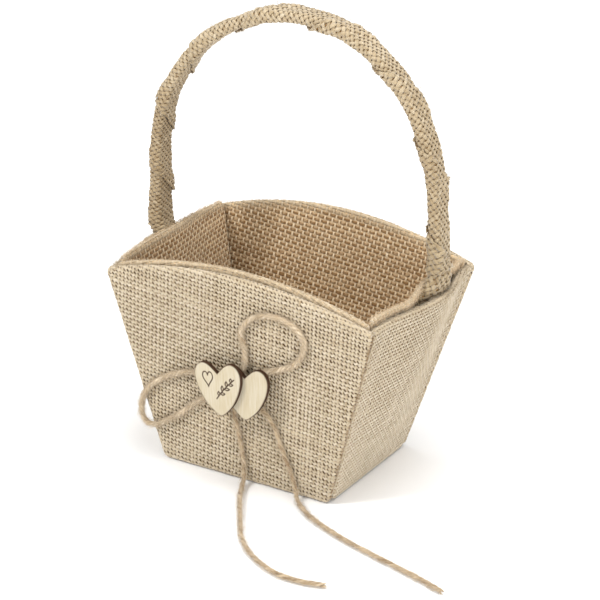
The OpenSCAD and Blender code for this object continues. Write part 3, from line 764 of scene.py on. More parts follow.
def cover(node, place, b, t, length, rise, v0, v1, w_face, w_back, yarn_mat, back_mat, seed, angle, px, py, wide,
          bow=None, tail=2.2, flat=None, hair=500, origin=(0.0, 0.0), thick=0.29, lift=0.27, corner=1.3, sides=6, wobble=0.06, hair_len=(0.8, 2.4), slub=0.12, tones=(0.0, 0.0), skew=0.0, painted_height_shade=1.5, drop=0.42):
    """One burlap-covered face: a thin sheet with its yarns on it. w_face and w_back are the slab's two faces."""
    s = 1.0 if w_face > w_back else -1.0
    mid_f, mid_b = w_face - s * CLOTH_MID, w_back + s * CLOTH_MID
    edge = outline(b, t, length, rise, v0, v1, CLOTH_MID + BEND, corner)
    r = min(BEND, abs(mid_f - mid_b) / 2)
    surf = Wrapped(place, edge, mid_f, mid_b, r, tail, bow)
    if node.endswith("_lining"):
        # painted lit rim: 0 below the lining's top band, rising to 1 over the top few mm
        def rim_at(x, y):
            k = np.clip((y - (v1 + rise * (1 - np.clip(x / t, -1, 1) ** 2) - 6.0)) / 5.0, 0, 1)
            return k * k * (3 - 2 * k)
        surf.rim_at = rim_at
    elif node == "front_cover":
        # painted shade: the cloth is darkened where it goes round the corner into the seam between two walls, where
        # shade falls
        surf.painted_shade_at = lambda x, y: -4.5 * np.clip((0.7 - (b + (t - b) * y / length - np.abs(x))) / 0.8, 0, 1)
    elif node in ("right_cover", "left_cover"):
        # painted light: the side walls' cloth is lighter towards the bottom and darker towards the top, standing in for
        # light bounced up off the floor
        surf.painted_shade_at = lambda x, y: 0.7 - 1.6 * np.clip(y / length, 0, 1)
    m = Mesh()
    weave(m, surf, seed, px, py, angle, origin, wide, thick, lift, wobble, sides, slub=slub, tones=tones, skew=skew, painted_height_shade=painted_height_shade)
    yarns = m.make(node + "_yarns", yarn_mat)
    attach(yarns, "root")
    sheet = backing(node + "_cloth", surf, edge, mid_f, mid_b, r, tail, drop, back_mat, node)
    if hair:
        hm = Mesh()
        hairs(hm, surf, seed + 500, hair, hair_len, uv=(0.0, 0.0, 1.0, 1.0))
        if rise:
            # the folded top edge is rubbed: short fibres stand along it and into the seam beside it
            a0, a1 = surf.span()
            side = node.startswith(("right", "left"))
            hairs(hm, surf, seed + 900, 1700 if side else 750, (0.6, 2.7) if side else (0.5, 1.7), 0.055, uv=(0.0, 0.0, 1.0, 1.0),
                  area=lambda x, y: y > v1 + rise * (1 - min(abs(x / t), 1.0) ** 2) - 1.5,
                  box=(np.array([a0[0], v1 - 2.0]), a1))
        fuzz = hm.make(node + "_fuzz", yarn_mat)
        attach(fuzz, "root")
    reach = 2 * (PI / 2 * r) + abs(mid_f - mid_b) - 2 * r + tail
    a = (edge[:, 0] * np.roll(edge[:, 1], -1) - np.roll(edge[:, 0], -1) * edge[:, 1]).sum() / 2
    per = np.linalg.norm(np.roll(edge, -1, 0) - edge, axis=1).sum()
    size = edge.max(0) - edge.min(0) + 2 * reach
    cut = (a + per * reach) * MM * MM
    return surf, size, cut


BOARD_OF = {n: n.replace("_cover", "_board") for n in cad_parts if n.endswith("_cover")}
BOARD_OF.update({n: n + "_board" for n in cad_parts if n.endswith("_lining")})

surfs = {}
for node, turn, seed, angle in (("front_cover", 0, 11, -5.0), ("back_cover", 180, 12, 2.0)):
    surfs[node] = cover(node, Stand(FRONT_DIST, FRONT_LEAN, turn), FRONT_B, FRONT_T, FRONT_LEN, 12.0, 0, FRONT_LEN, 0.0, -WALL_T,
                        OUTER, OUTER_BACK_PAINTED_SHADE, seed, angle, 2.12, 2.25, (0.297, 0.318), origin=(0.7, 0.4), corner=2.0,
                        wobble=0.085, lift=0.27, thick=0.29, slub=0.15, skew=0.13, tones=(-0.5, 0.5))
for node, turn, seed, angle in (("right_cover", 90, 13, 1.5), ("left_cover", 270, 14, -2.0)):
    surfs[node] = cover(node, Stand(SIDE_DIST, SIDE_LEAN, turn), SIDE_B, SIDE_T, SIDE_LEN, 2.0, 0, SIDE_LEN, 0.0, -WALL_T,
                        OUTER, SIDE_BACK, seed, angle, 2.12, 2.25, (0.29, 0.315), wobble=0.06, lift=0.18, thick=0.24, slub=0.15, skew=0.07, tones=(-0.3, 0.5), painted_height_shade=2.8,
                        bow=bow_of(SIDE_B, SIDE_T, SIDE_LEN, OUT_OF[node[:-6]]), corner=1.6)
LIN_V0 = 3.5
LF_B = 48 - WALL_T / math.cos(SIDE_LEAN) - 0.1
LF_T = 75 - WALL_T / math.cos(SIDE_LEAN) - 0.1
LS_B = 41 - (FRONT_LIN0 + LINING_T) / math.cos(FRONT_LEAN) - 0.15
LS_T = 55 - (FRONT_LIN0 + LINING_T) / math.cos(FRONT_LEAN) - 0.15
for node, turn, seed, angle in (("front_lining", 0, 21, 3.0), ("back_lining", 180, 22, 4.0)):
    surfs[node] = cover(node, Stand(FRONT_DIST, FRONT_LEAN, turn), LF_B, LF_T, FRONT_LEN, 12.0, LIN_V0, FRONT_LEN + 2,
                        -FRONT_LIN0 - LINING_T, -FRONT_LIN0, LINER, LINER_BACK, seed, angle, 2.13, 2.27, (0.23, 0.36),
                        hair=250, wobble=0.07, corner=1.6, lift=0.29, thick=0.23, tones=(2.0, -5.2), drop=0.08)
for node, turn, seed, angle, pair in (("right_lining", 90, 23, 2.0, (2.4, -3.2)), ("left_lining", 270, 24, -3.0, (1.6, -6.0))):
    surfs[node] = cover(node, Stand(SIDE_DIST, SIDE_LEAN, turn), LS_B, LS_T, SIDE_LEN, 2.0, LIN_V0, SIDE_LEN + 3.2,
                        -SIDE_LIN0 - LINING_T, -SIDE_LIN0, LINER, LINER_BACK, seed, angle, 2.13, 2.27, (0.23, 0.33),
                        bow=bow_of(LS_B, LS_T, SIDE_LEN, OUT_OF[node[:-7]], hollow_of(node[:-7])), hair=250, wobble=0.07, corner=1.6,
                        lift=0.31, thick=0.24, tones=pair, drop=0.14)


def pad(node, yarn_mat, back_mat, seed, face_up, px, py, wide, hair):
    """The covered base and the lining's base: a level slab."""
    lo, hi = box_mm(node)
    hx, hy = (hi[0] - lo[0]) / 2, (hi[1] - lo[1]) / 2
    w_face, w_back = (hi[2], lo[2]) if face_up else (lo[2], hi[2])
    return cover(node, Level(), hx, hx, 2 * hy, 0.0, -hy, hy, w_face, w_back, yarn_mat, back_mat, seed, 1.0, px, py, wide,
                 hair=hair, corner=1.2)


surfs["base_cover"] = pad("base_cover", OUTER, OUTER_BACK_PAINTED_SHADE, 31, False, 2.15, 2.2, 0.36, 0)
surfs["base_lining"] = pad("base_lining", LINER, LINER_BACK, 32, True, 2.15, 2.2, 0.31, 150)


# ---------------------------------------------------------------- handle: burlap tape wound round a flat strip
def slot_x(z, out):
    return 48 + z * math.tan(SIDE_LEAN) - (WALL_T + 0.25) / math.cos(SIDE_LEAN) + (out - SLOT_W / 2) / math.cos(SIDE_LEAN) * z / 102


def handle_line():
    def leg(out, kink):
        return [[slot_x(z, out), z] for z in (70, 78, 86, 94, 102)] + [[slot_x(102, out) + kink, 109], [75.7, 116], [76.2, 122], [76.0, 135.0]]
    arch = [[75.5 * math.cos(PI * i / 32), 148 + 82.5 * math.sin(PI * i / 32)] for i in range(33)]
    path = leg(OUT_OF["right"][0], 1.5) + arch + [[-p[0], p[1]] for p in reversed(leg(OUT_OF["left"][0], 2.7))]
    out = []
    for x, z in path[::-1]:
        # the shoulders of the bent strip sit a little to one side
        x -= 1.7 * math.sin(PI * min(max((z - 135) / 97, 0), 1))
        out.append([x, 2 + x * math.tan(math.radians(3.5)) + (3 * min(1, max(0, 150 - z) / 45) if x > 0 else 0), z])
    return np.array(out)


class Tape:
    """Maps flat tape (x across, y along, height) on to the handle, wound as a helix from the left end over the top."""
    P = 28.0                       # once round the handle
    TURN = 40.0                    # one wrap's advance in even coordinates
    ANG = math.atan(28.0 / 40.0)
    WIDE = 40.0 * math.sin(math.atan(28.0 / 40.0)) + 4.0
    OVER = 4.0

    def __init__(self):
        raw = handle_line()
        C, self.length = spline(raw, 1.0)
        # ease the kinks of the legs
        for _ in range(5):
            C[1:-1] = (C[:-2] + 2 * C[1:-1] + C[2:]) / 4
        self.C = C
        self.S = np.linspace(0, self.length, len(C))
        T = unit(np.gradient(C, axis=0))
        N = unit(np.stack([-T[:, 2], 0 * T[:, 0], T[:, 0]], 1))
        out = C - np.array([0, 0, 110.0])
        N *= np.sign((N * out).sum(1))[:, None]
        self.N = N
        B = np.cross(T, N)
        B *= np.sign(B[:, 1])[:, None]
        self.B = unit(B)
        rng = np.random.RandomState(77)
        self.slack = smooth_noise(rng, 4000, 9.0)
        self.edge = smooth_noise(rng, 4000, 2.2)
        self.t0, self.t1 = -3.25, 7.49

    def s_of(self, t):
        return 102.5 + 34.4 * t + 0.86 * t * t

    def lift(self, x, y):
        i = np.clip(((y + 300) * 2).astype(int), 0, 3998)
        top = np.clip((self.OVER + 3.5 - x) / 3.5, 0, 1)
        top = 1.1 * top * top * (3 - 2 * top)
        edge = np.exp(-np.clip(x + 0.3, 0, 9) / 1.3) * (0.25 + 0.75 * self.edge[i]) + np.clip(-x, 0, 2) * 0.25
        return top + edge + 0.22 * self.slack[i]

    def painted_shade_at(self, x, y):
        """Painted shade darkens and browns the tape at the left leg's end, standing in for the shade on that leg; the
        tape is also a little darker at the right leg's end.
        """
        s = self.s_of((y * math.cos(self.ANG) + x * math.sin(self.ANG)) / self.TURN)
        return -2.2 * np.clip((132 - s) / 40, 0, 1) - 1.3 * np.clip((s - 250) / 50, 0, 1)

    def half_t(self, z):
        return np.where(z >= 102, 2.75, 1.9 + 0.85 * np.clip((z - 70) / 32, 0, 1)) + 0.7 * np.clip(1 - np.abs(z - 118) / 26, 0, 1)

    def __call__(self, x, y, h):
        ca, sa = math.cos(self.ANG), math.sin(self.ANG)
        t = (y * ca + x * sa) / self.TURN
        c = (5.2 + y * sa - x * ca) / self.P
        s = np.clip(self.s_of(t), -1, self.length + 1)
        ctr = np.stack([np.interp(s, self.S, self.C[:, k]) for k in range(3)], -1)
        N = np.stack([np.interp(s, self.S, self.N[:, k]) for k in range(3)], -1)
        B = np.stack([np.interp(s, self.S, self.B[:, k]) for k in range(3)], -1)
        tn = self.half_t(ctr[..., 2])
        r, wn = 1.7, 6.2 + 0.35 * np.clip((150 - ctr[..., 2]) / 40, 0, 1)
        # round the section, starting in the middle of the inner face and going to the front
        a1, a2 = wn - r, np.maximum(tn - r, 0.05)
        q = PI / 2 * r
        per = 4 * a1 + 4 * a2 + 4 * q
        u = (c - np.floor(c)) * per
        n = np.zeros_like(u); w = np.zeros_like(u); nn = np.zeros_like(u); nw = np.zeros_like(u)
        # segments: inner face, corner, front, corner, outer face, corner, back, corner, inner face
        st = np.zeros_like(u)

        def seg(L, kind):
            nonlocal st
            m = (u >= st) & (u <= st + L + 1e-9)
            f = (u - st)
            if kind == "in0":
                vals = (-tn, -f, -1 + 0 * f, 0 * f)
            elif kind == "front":
                vals = (-a2 + f, -wn + 0 * f, 0 * f, -1 + 0 * f)
            elif kind == "out":
                vals = (tn, -a1 + f, 1 + 0 * f, 0 * f)
            elif kind == "back":
                vals = (a2 - f, wn + 0 * f, 0 * f, 1 + 0 * f)
            elif kind == "in1":
                vals = (-tn, a1 - f, -1 + 0 * f, 0 * f)
            else:
                k = int(kind)
                a = f / r + k * PI / 2
                cn = (-a2, a2, a2, -a2)[k]
                cw = (-a1, -a1, a1, a1)[k]
                vals = (cn - r * np.cos(a), cw - r * np.sin(a), -np.cos(a), -np.sin(a))
            for dst, v in zip((n, w, nn, nw), vals):
                dst[m] = np.broadcast_to(v, u.shape)[m]
            st = st + L
        seg(a1, "in0"); seg(q, "0"); seg(2 * a2, "front"); seg(q, "1"); seg(2 * a1, "out"); seg(q, "2"); seg(2 * a2, "back"); seg(q, "3"); seg(a1 + 1, "in1")
        hh = h + self.lift(x, y) * np.clip((ctr[..., 2] - 84) / 14, 0.0, 1) * 0.95
        # the right foot: the last turn is pinched, and its front edge is spread and stuck down against the lining
        z, right = ctr[..., 2], ctr[..., 0] > 0
        hh = hh + np.where(right, 0.45 * np.exp(-((z - 115.4) / 1.2) ** 2) - 1.0 * np.exp(-((z - 113.2) / 0.9) ** 2), 0.0)
        flare = np.where(right, 5.0 * np.clip((113 - z) / 11, 0, 1) ** 1.6, 0.0)
        front = np.clip(-w / wn, 0, 1)
        w = w - flare * front
        n = n * (1 - 0.5 * front * flare / 5.0) - 0.5 * flare * front
        return ctr + N * (n + nn * hh)[..., None] + B * (w + nw * hh)[..., None]

    def keep(self, x, y):
        ca, sa = math.cos(self.ANG), math.sin(self.ANG)
        s = self.s_of((y * ca + x * sa) / self.TURN)
        i = np.clip(((y + 300) * 2).astype(int), 0, 3998)
        fringe = 0.25 + 0.9 * np.abs(self.edge[i])
        return (s > 0.5) & (s < self.length - 0.5) & (x > -fringe) & (x < self.WIDE)

    def span(self):
        ca, sa = math.cos(self.ANG), math.sin(self.ANG)
        a0 = (self.t0 * self.TURN - self.WIDE * sa) / ca
        a1 = self.t1 * self.TURN / ca
        return np.array([-2.0, a0]), np.array([self.WIDE, a1])


def handle():
    tape = Tape()
    m = Mesh()
    weave(m, tape, 41, 2.12, 2.15, 0.0, (1.0, 0.0), (0.35, 0.37), 0.28, 0.22, 0.06, 6, slub=0.16, skew=0.05)
    yarns = m.make("handle_wrap_yarns", TAPE)
    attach(yarns, "root")
    hm = Mesh()
    hairs(hm, tape, 541, 700, (0.9, 2.6), 0.05, uv=(0, 0, 1, 1))
    hairs(hm, tape, 542, 1300, (1.0, 3.2), 0.065, uv=(0, 0, 1, 1), area=lambda x, y: x < 1.0)
    fuzz = hm.make("handle_wrap_fuzz", TAPE)
    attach(fuzz, "root")
    # the tape's own thin sheet under the yarns
    ca, sa = math.cos(tape.ANG), math.sin(tape.ANG)
    t = np.linspace(tape.t0 + 0.02, tape.t1 - 0.02, 420)
    b = np.linspace(0.4, tape.WIDE - 0.4, 24)
    U, Bv = np.meshgrid(t * tape.TURN, b, indexing="ij")
    A = (U - Bv * sa) / ca
    lay = [tape(Bv, A, np.full(U.shape, h)) for h in (-0.42, -0.54)]
    nu, nb = U.shape
    v = np.concatenate([l.reshape(-1, 3) for l in lay])
    i, k = np.meshgrid(np.arange(nu - 1), np.arange(nb - 1), indexing="ij")
    q = np.stack([i * nb + k, i * nb + k + 1, (i + 1) * nb + k + 1, (i + 1) * nb + k], -1).reshape(-1, 4)
    o = nu * nb
    quads = [q, q[:, ::-1] + o]
    rim = list(range(nb)) + [r * nb + nb - 1 for r in range(1, nu)] + [(nu - 1) * nb + c for c in range(nb - 2, -1, -1)] + [r * nb for r in range(nu - 2, 0, -1)]
    rim = np.array(rim); nxt = np.roll(rim, -1)
    quads.append(np.stack([nxt, rim, rim + o, nxt + o], 1))
    quads = np.concatenate(quads)
    me = bpy.data.meshes.new("handle_wrap_cloth")
    me.from_pydata((v * MM).tolist(), [], quads.tolist())
    me.update(); me.validate()
    import bmesh
    bm = bmesh.new(); bm.from_mesh(me); bmesh.ops.recalc_face_normals(bm, faces=bm.faces); bm.to_mesh(me); bm.free()
    me.polygons.foreach_set("use_smooth", np.ones(len(me.polygons), bool))
    me.materials.append(TAPE_BACK)
    ob = bpy.data.objects.new("handle_wrap_cloth", me)
    bpy.context.scene.collection.objects.link(ob)
    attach(ob, "root"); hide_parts("handle_wrap")
    long = (tape.t1 - tape.t0) * tape.TURN / ca
    return tape, long


TAPE_MAP, TAPE_LONG = handle()


# ---------------------------------------------------------------- bow: three-ply jute twine
TWINE_D = 2.8


def wall_y(z):
    return -(41 + z * math.tan(FRONT_LEAN))


def laid(x, z, off=0.0):
    return [x, wall_y(z) - TWINE_D / 2 / math.cos(FRONT_LEAN) - 0.3 - off, z]


LOOP_LEFT = [laid(-3.6, 58.4, 1.4), laid(-12, 59, 1), laid(-23, 57, 0.4), laid(-33, 54, 0.2), laid(-41, 50), laid(-48, 45),
             laid(-54, 38.5), laid(-57.5, 30.5), laid(-57.5, 23), laid(-54.5, 19.3), laid(-49.5, 19.8),
             laid(-43, 24), laid(-35, 30), laid(-27, 37.3, 0.2), laid(-20, 43, 0.4), laid(-11, 49.5, 1), laid(-3.4, 54.2, 1.4)]
LOOP_RIGHT = [laid(2.6, 62.8, 1.4), laid(5, 69, 0.6), laid(4.7, 78), laid(3.4, 85), laid(7, 92.8), laid(16.5, 98.6),
              laid(27.3, 99), laid(35.7, 94.8), laid(38.7, 88), laid(36.6, 80.8), laid(31.5, 75),
              laid(25, 71.3), laid(18.5, 68.5, 0.4), laid(12, 65, 1), laid(6.8, 60.8, 1.4)]
TAIL_LEFT = [laid(0.8, 51.2, 1.4), laid(-1.5, 46, 0.8), laid(-2.8, 40, 0.2), laid(-1.8, 32), laid(-0.4, 24.5), laid(0.8, 15.5), laid(1.2, 8.5, 0.2),
             [1.6, -44.8, 4], [3.4, -49, 2], [7, -57, 1.6], [12, -66, 1.6], [17.5, -75, 1.6], [24, -85.5, 1.6], [31, -96, 1.6],
             [40, -105.5, 1.6], [51.5, -113.5, 1.6], [64, -118.5, 1.6], [76, -119, 1.6], [88.5, -116, 1.6]]
TAIL_RIGHT = [laid(5, 51.8, 1.4), laid(10, 47.5, 1), laid(16, 43.5, 0.4), laid(20, 36.5), laid(23, 27.5), laid(26.6, 17.5), laid(29.6, 9, 0.2),
              [31.6, -45, 4], [34.4, -48.4, 2], [41, -54.5, 1.6], [50, -60.8, 1.6], [61, -66.2, 1.6], [75, -71.8, 1.6],
              [91, -77, 1.6], [108, -82, 1.6], [123, -86.5, 1.6], [136.5, -91.5, 1.6]]


def plies(mesh, C, seed, ply_r=0.54, off=0.55, pitch=9.6, sides=9, hand=-1.0, uv=(0.0, 0.0, 1.0, 1.0), taper=(1.0, 1.0), flare=0.0, tone_and_painted_shade=-0.6):
    """Three strands laid round a line, each with its own fibres and thick and thin places."""
    rng = np.random.RandomState(seed)
    n = len(C)
    L = np.concatenate([[0], np.cumsum(np.linalg.norm(np.diff(C, axis=0), axis=1))])
    T, N, B = frames_along(C)
    for k in range(3):
        ph = hand * 2 * PI * (L / pitch + 0.05 * smooth_noise(rng, n, 24)) + 2 * PI * k / 3
        end = np.clip((L - (L[-1] - 5)) / 5, 0, 1) ** 2 * flare
        o = off * (1 + 0.16 * smooth_noise(rng, n, 9)) + end * rng.uniform(0.6, 1.4)
        P = C + o[:, None] * (np.cos(ph)[:, None] * N + np.sin(ph)[:, None] * B)
        T2, N2, B2 = frames_along(P)
        r = ply_r * (1 + 0.20 * smooth_noise(rng, n, 11) + 0.09 * smooth_noise(rng, n, 2.5))
        shade = rng.uniform(-1.2, 1.2) + 2.0 * smooth_noise(rng, n, 9) + 1.5 * smooth_noise(rng, n, 2) + tone_and_painted_shade
        r *= 1 - (1 - taper[0]) * np.clip(1 - L / 2, 0, 1) - (1 - taper[1]) * np.clip((L - L[-1] + 3) / 3, 0, 1) ** 2
        th = 2 * PI * np.arange(sides) / sides
        lump = 1 + 0.10 * np.stack([smooth_noise(rng, n, 3) for _ in range(sides)], 1)
        V = P[:, None] + (r[:, None] * lump)[..., None] * (np.cos(th)[None, :, None] * N2[:, None] + np.sin(th)[None, :, None] * B2[:, None])
        tw = th[None] + hand * L[:, None] * 0.55
        fib = np.stack([np.cos(tw) + 9.1 * k + seed, np.sin(tw) + 3.7 * k, np.repeat(L[:, None], sides, 1)], -1)
        w = (uv[2] - uv[0]) / 3
        mesh.tube(V, fib, (uv[0] + w * k + 0.01 * w, uv[1] + 0.004, uv[0] + w * (k + 0.98), uv[3] - 0.004), tone=shade)


def cord_hairs(mesh, C, seed, count, long=(1.5, 5.5), thick=0.04, r0=1.1):
    """Fibres that stand off the twine, most of them lying back along it."""
    rng = np.random.RandomState(seed)
    T, N, B = frames_along(C)
    for made in range(count):
        i = rng.randint(1, len(C) - 1)
        a = rng.uniform(0, 2 * PI)
        out = math.cos(a) * N[i] + math.sin(a) * B[i]
        side = -math.sin(a) * N[i] + math.cos(a) * B[i]
        n = 6
        s = np.linspace(0, 1, n)
        L = rng.uniform(*long)
        rise = min(rng.exponential(0.35), 1.0) * 1.7
        turn = rng.normal(0, 0.8)
        fwd = rng.choice([-1, 1])
        P = (C[i] + out * r0)[None] + np.outer(s * L * 0.8 * fwd, T[i]) + np.outer(rise * np.sin(s * rng.uniform(1.2, 2.8)), out) + np.outer(turn * s * s, side)
        # never under the floor
        P[:, 2] = np.maximum(P[:, 2], 0.12)
        Tt, Nn, Bb = frames_along(P)
        r = thick * rng.uniform(0.6, 1.3) * np.array([1, 1, 0.9, 0.75, 0.5, 0.25])
        th = 2 * PI * np.arange(3) / 3
        V = P[:, None] + r[:, None, None] * (np.cos(th)[None, :, None] * Nn[:, None] + np.sin(th)[None, :, None] * Bb[:, None])
        fib = np.repeat(np.stack([np.full(n, made * 1.3), np.full(n, seed * 1.0), s * L], -1)[:, None], 3, 1)
        x0, y0 = (made % 20) / 20, ((made // 20) % 20) / 20
        mesh.tube(V, fib, (x0, y0, x0 + 0.04, y0 + 0.04), tone=float(rng.uniform(0.2, 1.3)))


CORDS = {}
for node, pts, seed, far in (("twine_loop_left", LOOP_LEFT, 51, "object"), ("twine_loop_right", LOOP_RIGHT, 52, "object"),
                             ("twine_tail_left", TAIL_LEFT, 53, "bare"), ("twine_tail_right", TAIL_RIGHT, 54, "bare")):
    C, length = spline(pts, 0.55)
    m = Mesh()
    tail = far == "bare"
    # the tails' tone is pulled darker as painted shade where they lie by the basket; the loops' tone is pulled lighter
    plies(m, C, seed, ply_r=0.57 if tail else 0.66, off=0.57 if tail else 0.64, flare=0.35 if tail else 0.0, taper=(1.0, 0.75 if tail else 1.0),
          tone_and_painted_shade=-2.2 if tail else 1.3)
    ob = m.make(node + "_plies", JUTE)
    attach(ob, "root"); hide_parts(node)
    hm = Mesh()
    cord_hairs(hm, C, seed + 500, int(length * (17 if tail else 30)), long=(1.2, 5.0), thick=0.038 if tail else 0.045, r0=1.0 if tail else 1.2)
    fz = hm.make(node + "_fuzz", JUTE)
    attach(fz, "root")
    path = [(p * MM).tolist() for p in C[::3]]
    if (len(C) - 1) % 3:
        path.append((C[-1] * MM).tolist())
    CORDS[node] = length


def knot():
    t = np.linspace(0, 2 * PI, 150, endpoint=False)
    R, a = 2.25, 1.25
    C = np.stack([(R + a * np.cos(3 * t)) * np.cos(2 * t), (R + a * np.cos(3 * t)) * np.sin(2 * t), 1.0 * np.sin(3 * t)], 1)
    ca, sa = math.cos(FRONT_LEAN), math.sin(FRONT_LEAN)
    z0 = 57.0
    ctr = np.array([2.0, wall_y(z0), z0]) + np.array([0, -ca, -sa]) * (0.7 + 2.2)
    ex, ey, ez = np.array([1, 0, 0.0]), np.array([0, -sa, ca]), np.array([0, -ca, -sa])
    P = ctr + C[:, :1] * ex + C[:, 1:2] * ey + C[:, 2:] * ez
    m = Mesh()
    # a closed line: the strand's frame carries on from its end to its start
    Q = np.vstack([P, P[:1], P[1:2]])
    plies(m, Q, 55, ply_r=0.62, off=0.58, pitch=8.0)
    ob = m.make("twine_knot_plies", JUTE)
    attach(ob, "root"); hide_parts("twine_knot")


knot()


# ---------------------------------------------------------------- wooden hearts
HEART_W, HEART_H, HEART_T = 25.5, 27.5, 2.5


def heart_line(n):
    """Full lobes and convex flanks down to a blunt point: one half as a smooth line, mirrored."""
    half = [(0.0, 7.5), (2.4, 9.9), (5.3, 12.2), (8.0, 12.9), (10.9, 11.6), (12.75, 8.4), (12.9, 4.5), (11.9, 0.2), (10.0, -4.2),
            (7.1, -8.8), (3.8, -12.2), (1.4, -14.0), (0.0, -14.5)]
    C, _ = spline([(x, y, 0.0) for x, y in half], 0.1)
    C = C[:, :2]
    L = C.copy(); L[:, 0] *= -1
    Q = np.vstack([L[::-1], C[1:]])[::-1]          # anticlockwise from the tip
    s = np.concatenate([[0], np.cumsum(np.linalg.norm(np.diff(Q, axis=0), axis=1))])
    u = np.linspace(0, s[-1], n, endpoint=False)
    return np.stack([np.interp(u, s, Q[:, k]) for k in range(2)], 1)


def near_lines(P, lines):
    """Distance of each point to the nearest of some polylines."""
    best = np.full(len(P), 1e9)
    for ln in lines:
        for a, b in zip(ln[:-1], ln[1:]):
            a, b = np.array(a, float), np.array(b, float)
            ab = b - a
            t = np.clip(((P - a) @ ab) / max(ab @ ab, 1e-9), 0, 1)
            best = np.minimum(best, np.linalg.norm(P - (a + t[:, None] * ab), axis=1))
    return best


def heart_mesh(name, face_y, cx, cz, turn, lines, node):
    n, rings = 300, 96
    rim = heart_line(n)
    ctr = np.array([0.0, 1.0])
    f = np.concatenate([np.linspace(0.015, 0.985, rings), [1.0]])
    # front face out to the bevel, the bevel, the side, and the back
    rows, zs, burn = [], [], []
    cut = near_lines(np.concatenate([ctr + (rim - ctr) * x for x in f]), lines).reshape(len(f), n) if lines else np.full((len(f), n), 9.0)
    edge_n = unit((np.roll(rim, -1, 0) - np.roll(rim, 1, 0))[:, [1, 0]] * [1, -1])
    if ((rim - ctr) * edge_n).sum() < 0:
        edge_n = -edge_n
    inner = rim - edge_n * 0.22
    for i, x in enumerate(f):
        P = ctr + (inner - ctr) * x
        g = np.exp(-(cut[i] / 0.24) ** 2)
        rows.append(P); zs.append(HEART_T - 0.28 * g)
        d = np.linalg.norm(inner - ctr, axis=1) * (1 - x)
        burn.append(np.clip(np.exp(-(cut[i] / 0.33) ** 4) * 1.1 + 0.5 * np.exp(-(d / 0.28) ** 2), 0, 1))
    for off, z, b in ((0.11, HEART_T - 0.05, 0.8), (0.0, HEART_T - 0.2, 1.0), (0.0, HEART_T * 0.6, 1.0), (0.0, HEART_T * 0.3, 1.0), (0.0, 0.15, 1.0), (0.15, 0.0, 0.9), (0.7, 0.0, 0.2)):
        rows.append(rim - edge_n * off); zs.append(np.full(n, z)); burn.append(np.full(n, b))
    for x in (0.75, 0.4, 0.02):
        rows.append(ctr + (rim - ctr) * x); zs.append(np.zeros(n)); burn.append(np.zeros(n))
    P = np.array(rows); Z = np.array(zs); Bn = np.array(burn)
    R = len(P)
    c, s = math.cos(math.radians(turn)), math.sin(math.radians(turn))
    X = cx + P[..., 0] * c - P[..., 1] * s
    Y = face_y + (HEART_T - Z) - 0.0
    Zw = cz + P[..., 0] * s + P[..., 1] * c
    V = np.stack([X, Y, Zw], -1)
    idx = np.arange(R * n).reshape(R, n)
    a = idx[:-1]; b = idx[1:]
    q = np.stack([a, np.roll(a, -1, 1), np.roll(b, -1, 1), b], -1).reshape(-1, 4)
    verts = V.reshape(-1, 3)
    verts = np.vstack([verts, V[0].mean(0), V[-1].mean(0)])
    k = np.arange(n); k2 = (k + 1) % n
    tri1 = np.stack([np.full(n, R * n), k2, k], 1)
    tri2 = np.stack([np.full(n, R * n + 1), (R - 1) * n + k, (R - 1) * n + k2], 1)
    me = bpy.data.meshes.new(name)
    me.from_pydata((verts * MM).tolist(), [], q.tolist() + tri1.tolist() + tri2.tolist())
    me.update(); me.validate()
    import bmesh
    bm = bmesh.new(); bm.from_mesh(me); bmesh.ops.recalc_face_normals(bm, faces=bm.faces); bm.to_mesh(me); bm.free()
    at = me.attributes.new("burn", "FLOAT", "POINT")
    at.data.foreach_set("value", np.concatenate([Bn.ravel(), [0.0, 0.0]]).astype(np.float32))
    at = me.attributes.new("flat", "FLOAT_VECTOR", "POINT")
    loc = np.concatenate([np.stack([P[..., 0], P[..., 1], Z], -1).reshape(-1, 3), [[0, 1, HEART_T], [0, 1, 0]]])
    at.data.foreach_set("vector", (loc + [0, 0, 40 * (cx + 20)]).astype(np.float32).ravel())
    # front and back project flat; the side wall unrolls below them
    uvl = me.uv_layers.new(name="OFBake")
    nl = len(me.loops)
    vi = np.zeros(nl, np.int32); me.loops.foreach_get("vertex_index", vi)
    px = loc[:, 0] / 30; py = loc[:, 1] / 30
    row = np.concatenate([np.repeat(np.arange(R), n), [0, R - 1]])
    col = np.concatenate([np.tile(np.arange(n), R), [0, 0]])
    fr, sd = len(f) + 0, len(f) + 6
    uv = np.zeros((nl, 2), np.float32)
    starts = np.zeros(len(me.polygons), np.int32); me.polygons.foreach_get("loop_start", starts)
    tots = np.zeros(len(me.polygons), np.int32); me.polygons.foreach_get("loop_total", tots)
    for s0, tt in zip(starts, tots):
        ids = vi[s0:s0 + tt]
        lo = row[ids].min()
        if lo < fr:
            uv[s0:s0 + tt] = np.stack([0.25 + px[ids] * 0.5, 0.72 + py[ids] * 0.5], 1)
        elif lo < sd:
            cc = col[ids].astype(float)
            if cc.max() - cc.min() > n / 2:
                cc = np.where(cc < n / 2, cc + n, cc)
            uv[s0:s0 + tt] = np.stack([0.01 + 0.97 * cc / (n + 1), 0.02 + 0.14 * (row[ids] - fr) / (sd - fr)], 1)
        else:
            uv[s0:s0 + tt] = np.stack([0.75 + px[ids] * 0.5, 0.72 + py[ids] * 0.5], 1)
    uvl.data.foreach_set("uv", uv.ravel())
    me.polygons.foreach_set("use_smooth", np.ones(len(me.polygons), bool))
    me.materials.append(WOOD)
    ob = bpy.data.objects.new(name, me)
    bpy.context.scene.collection.objects.link(ob)
    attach(ob, "root"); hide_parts(node)
    return ob


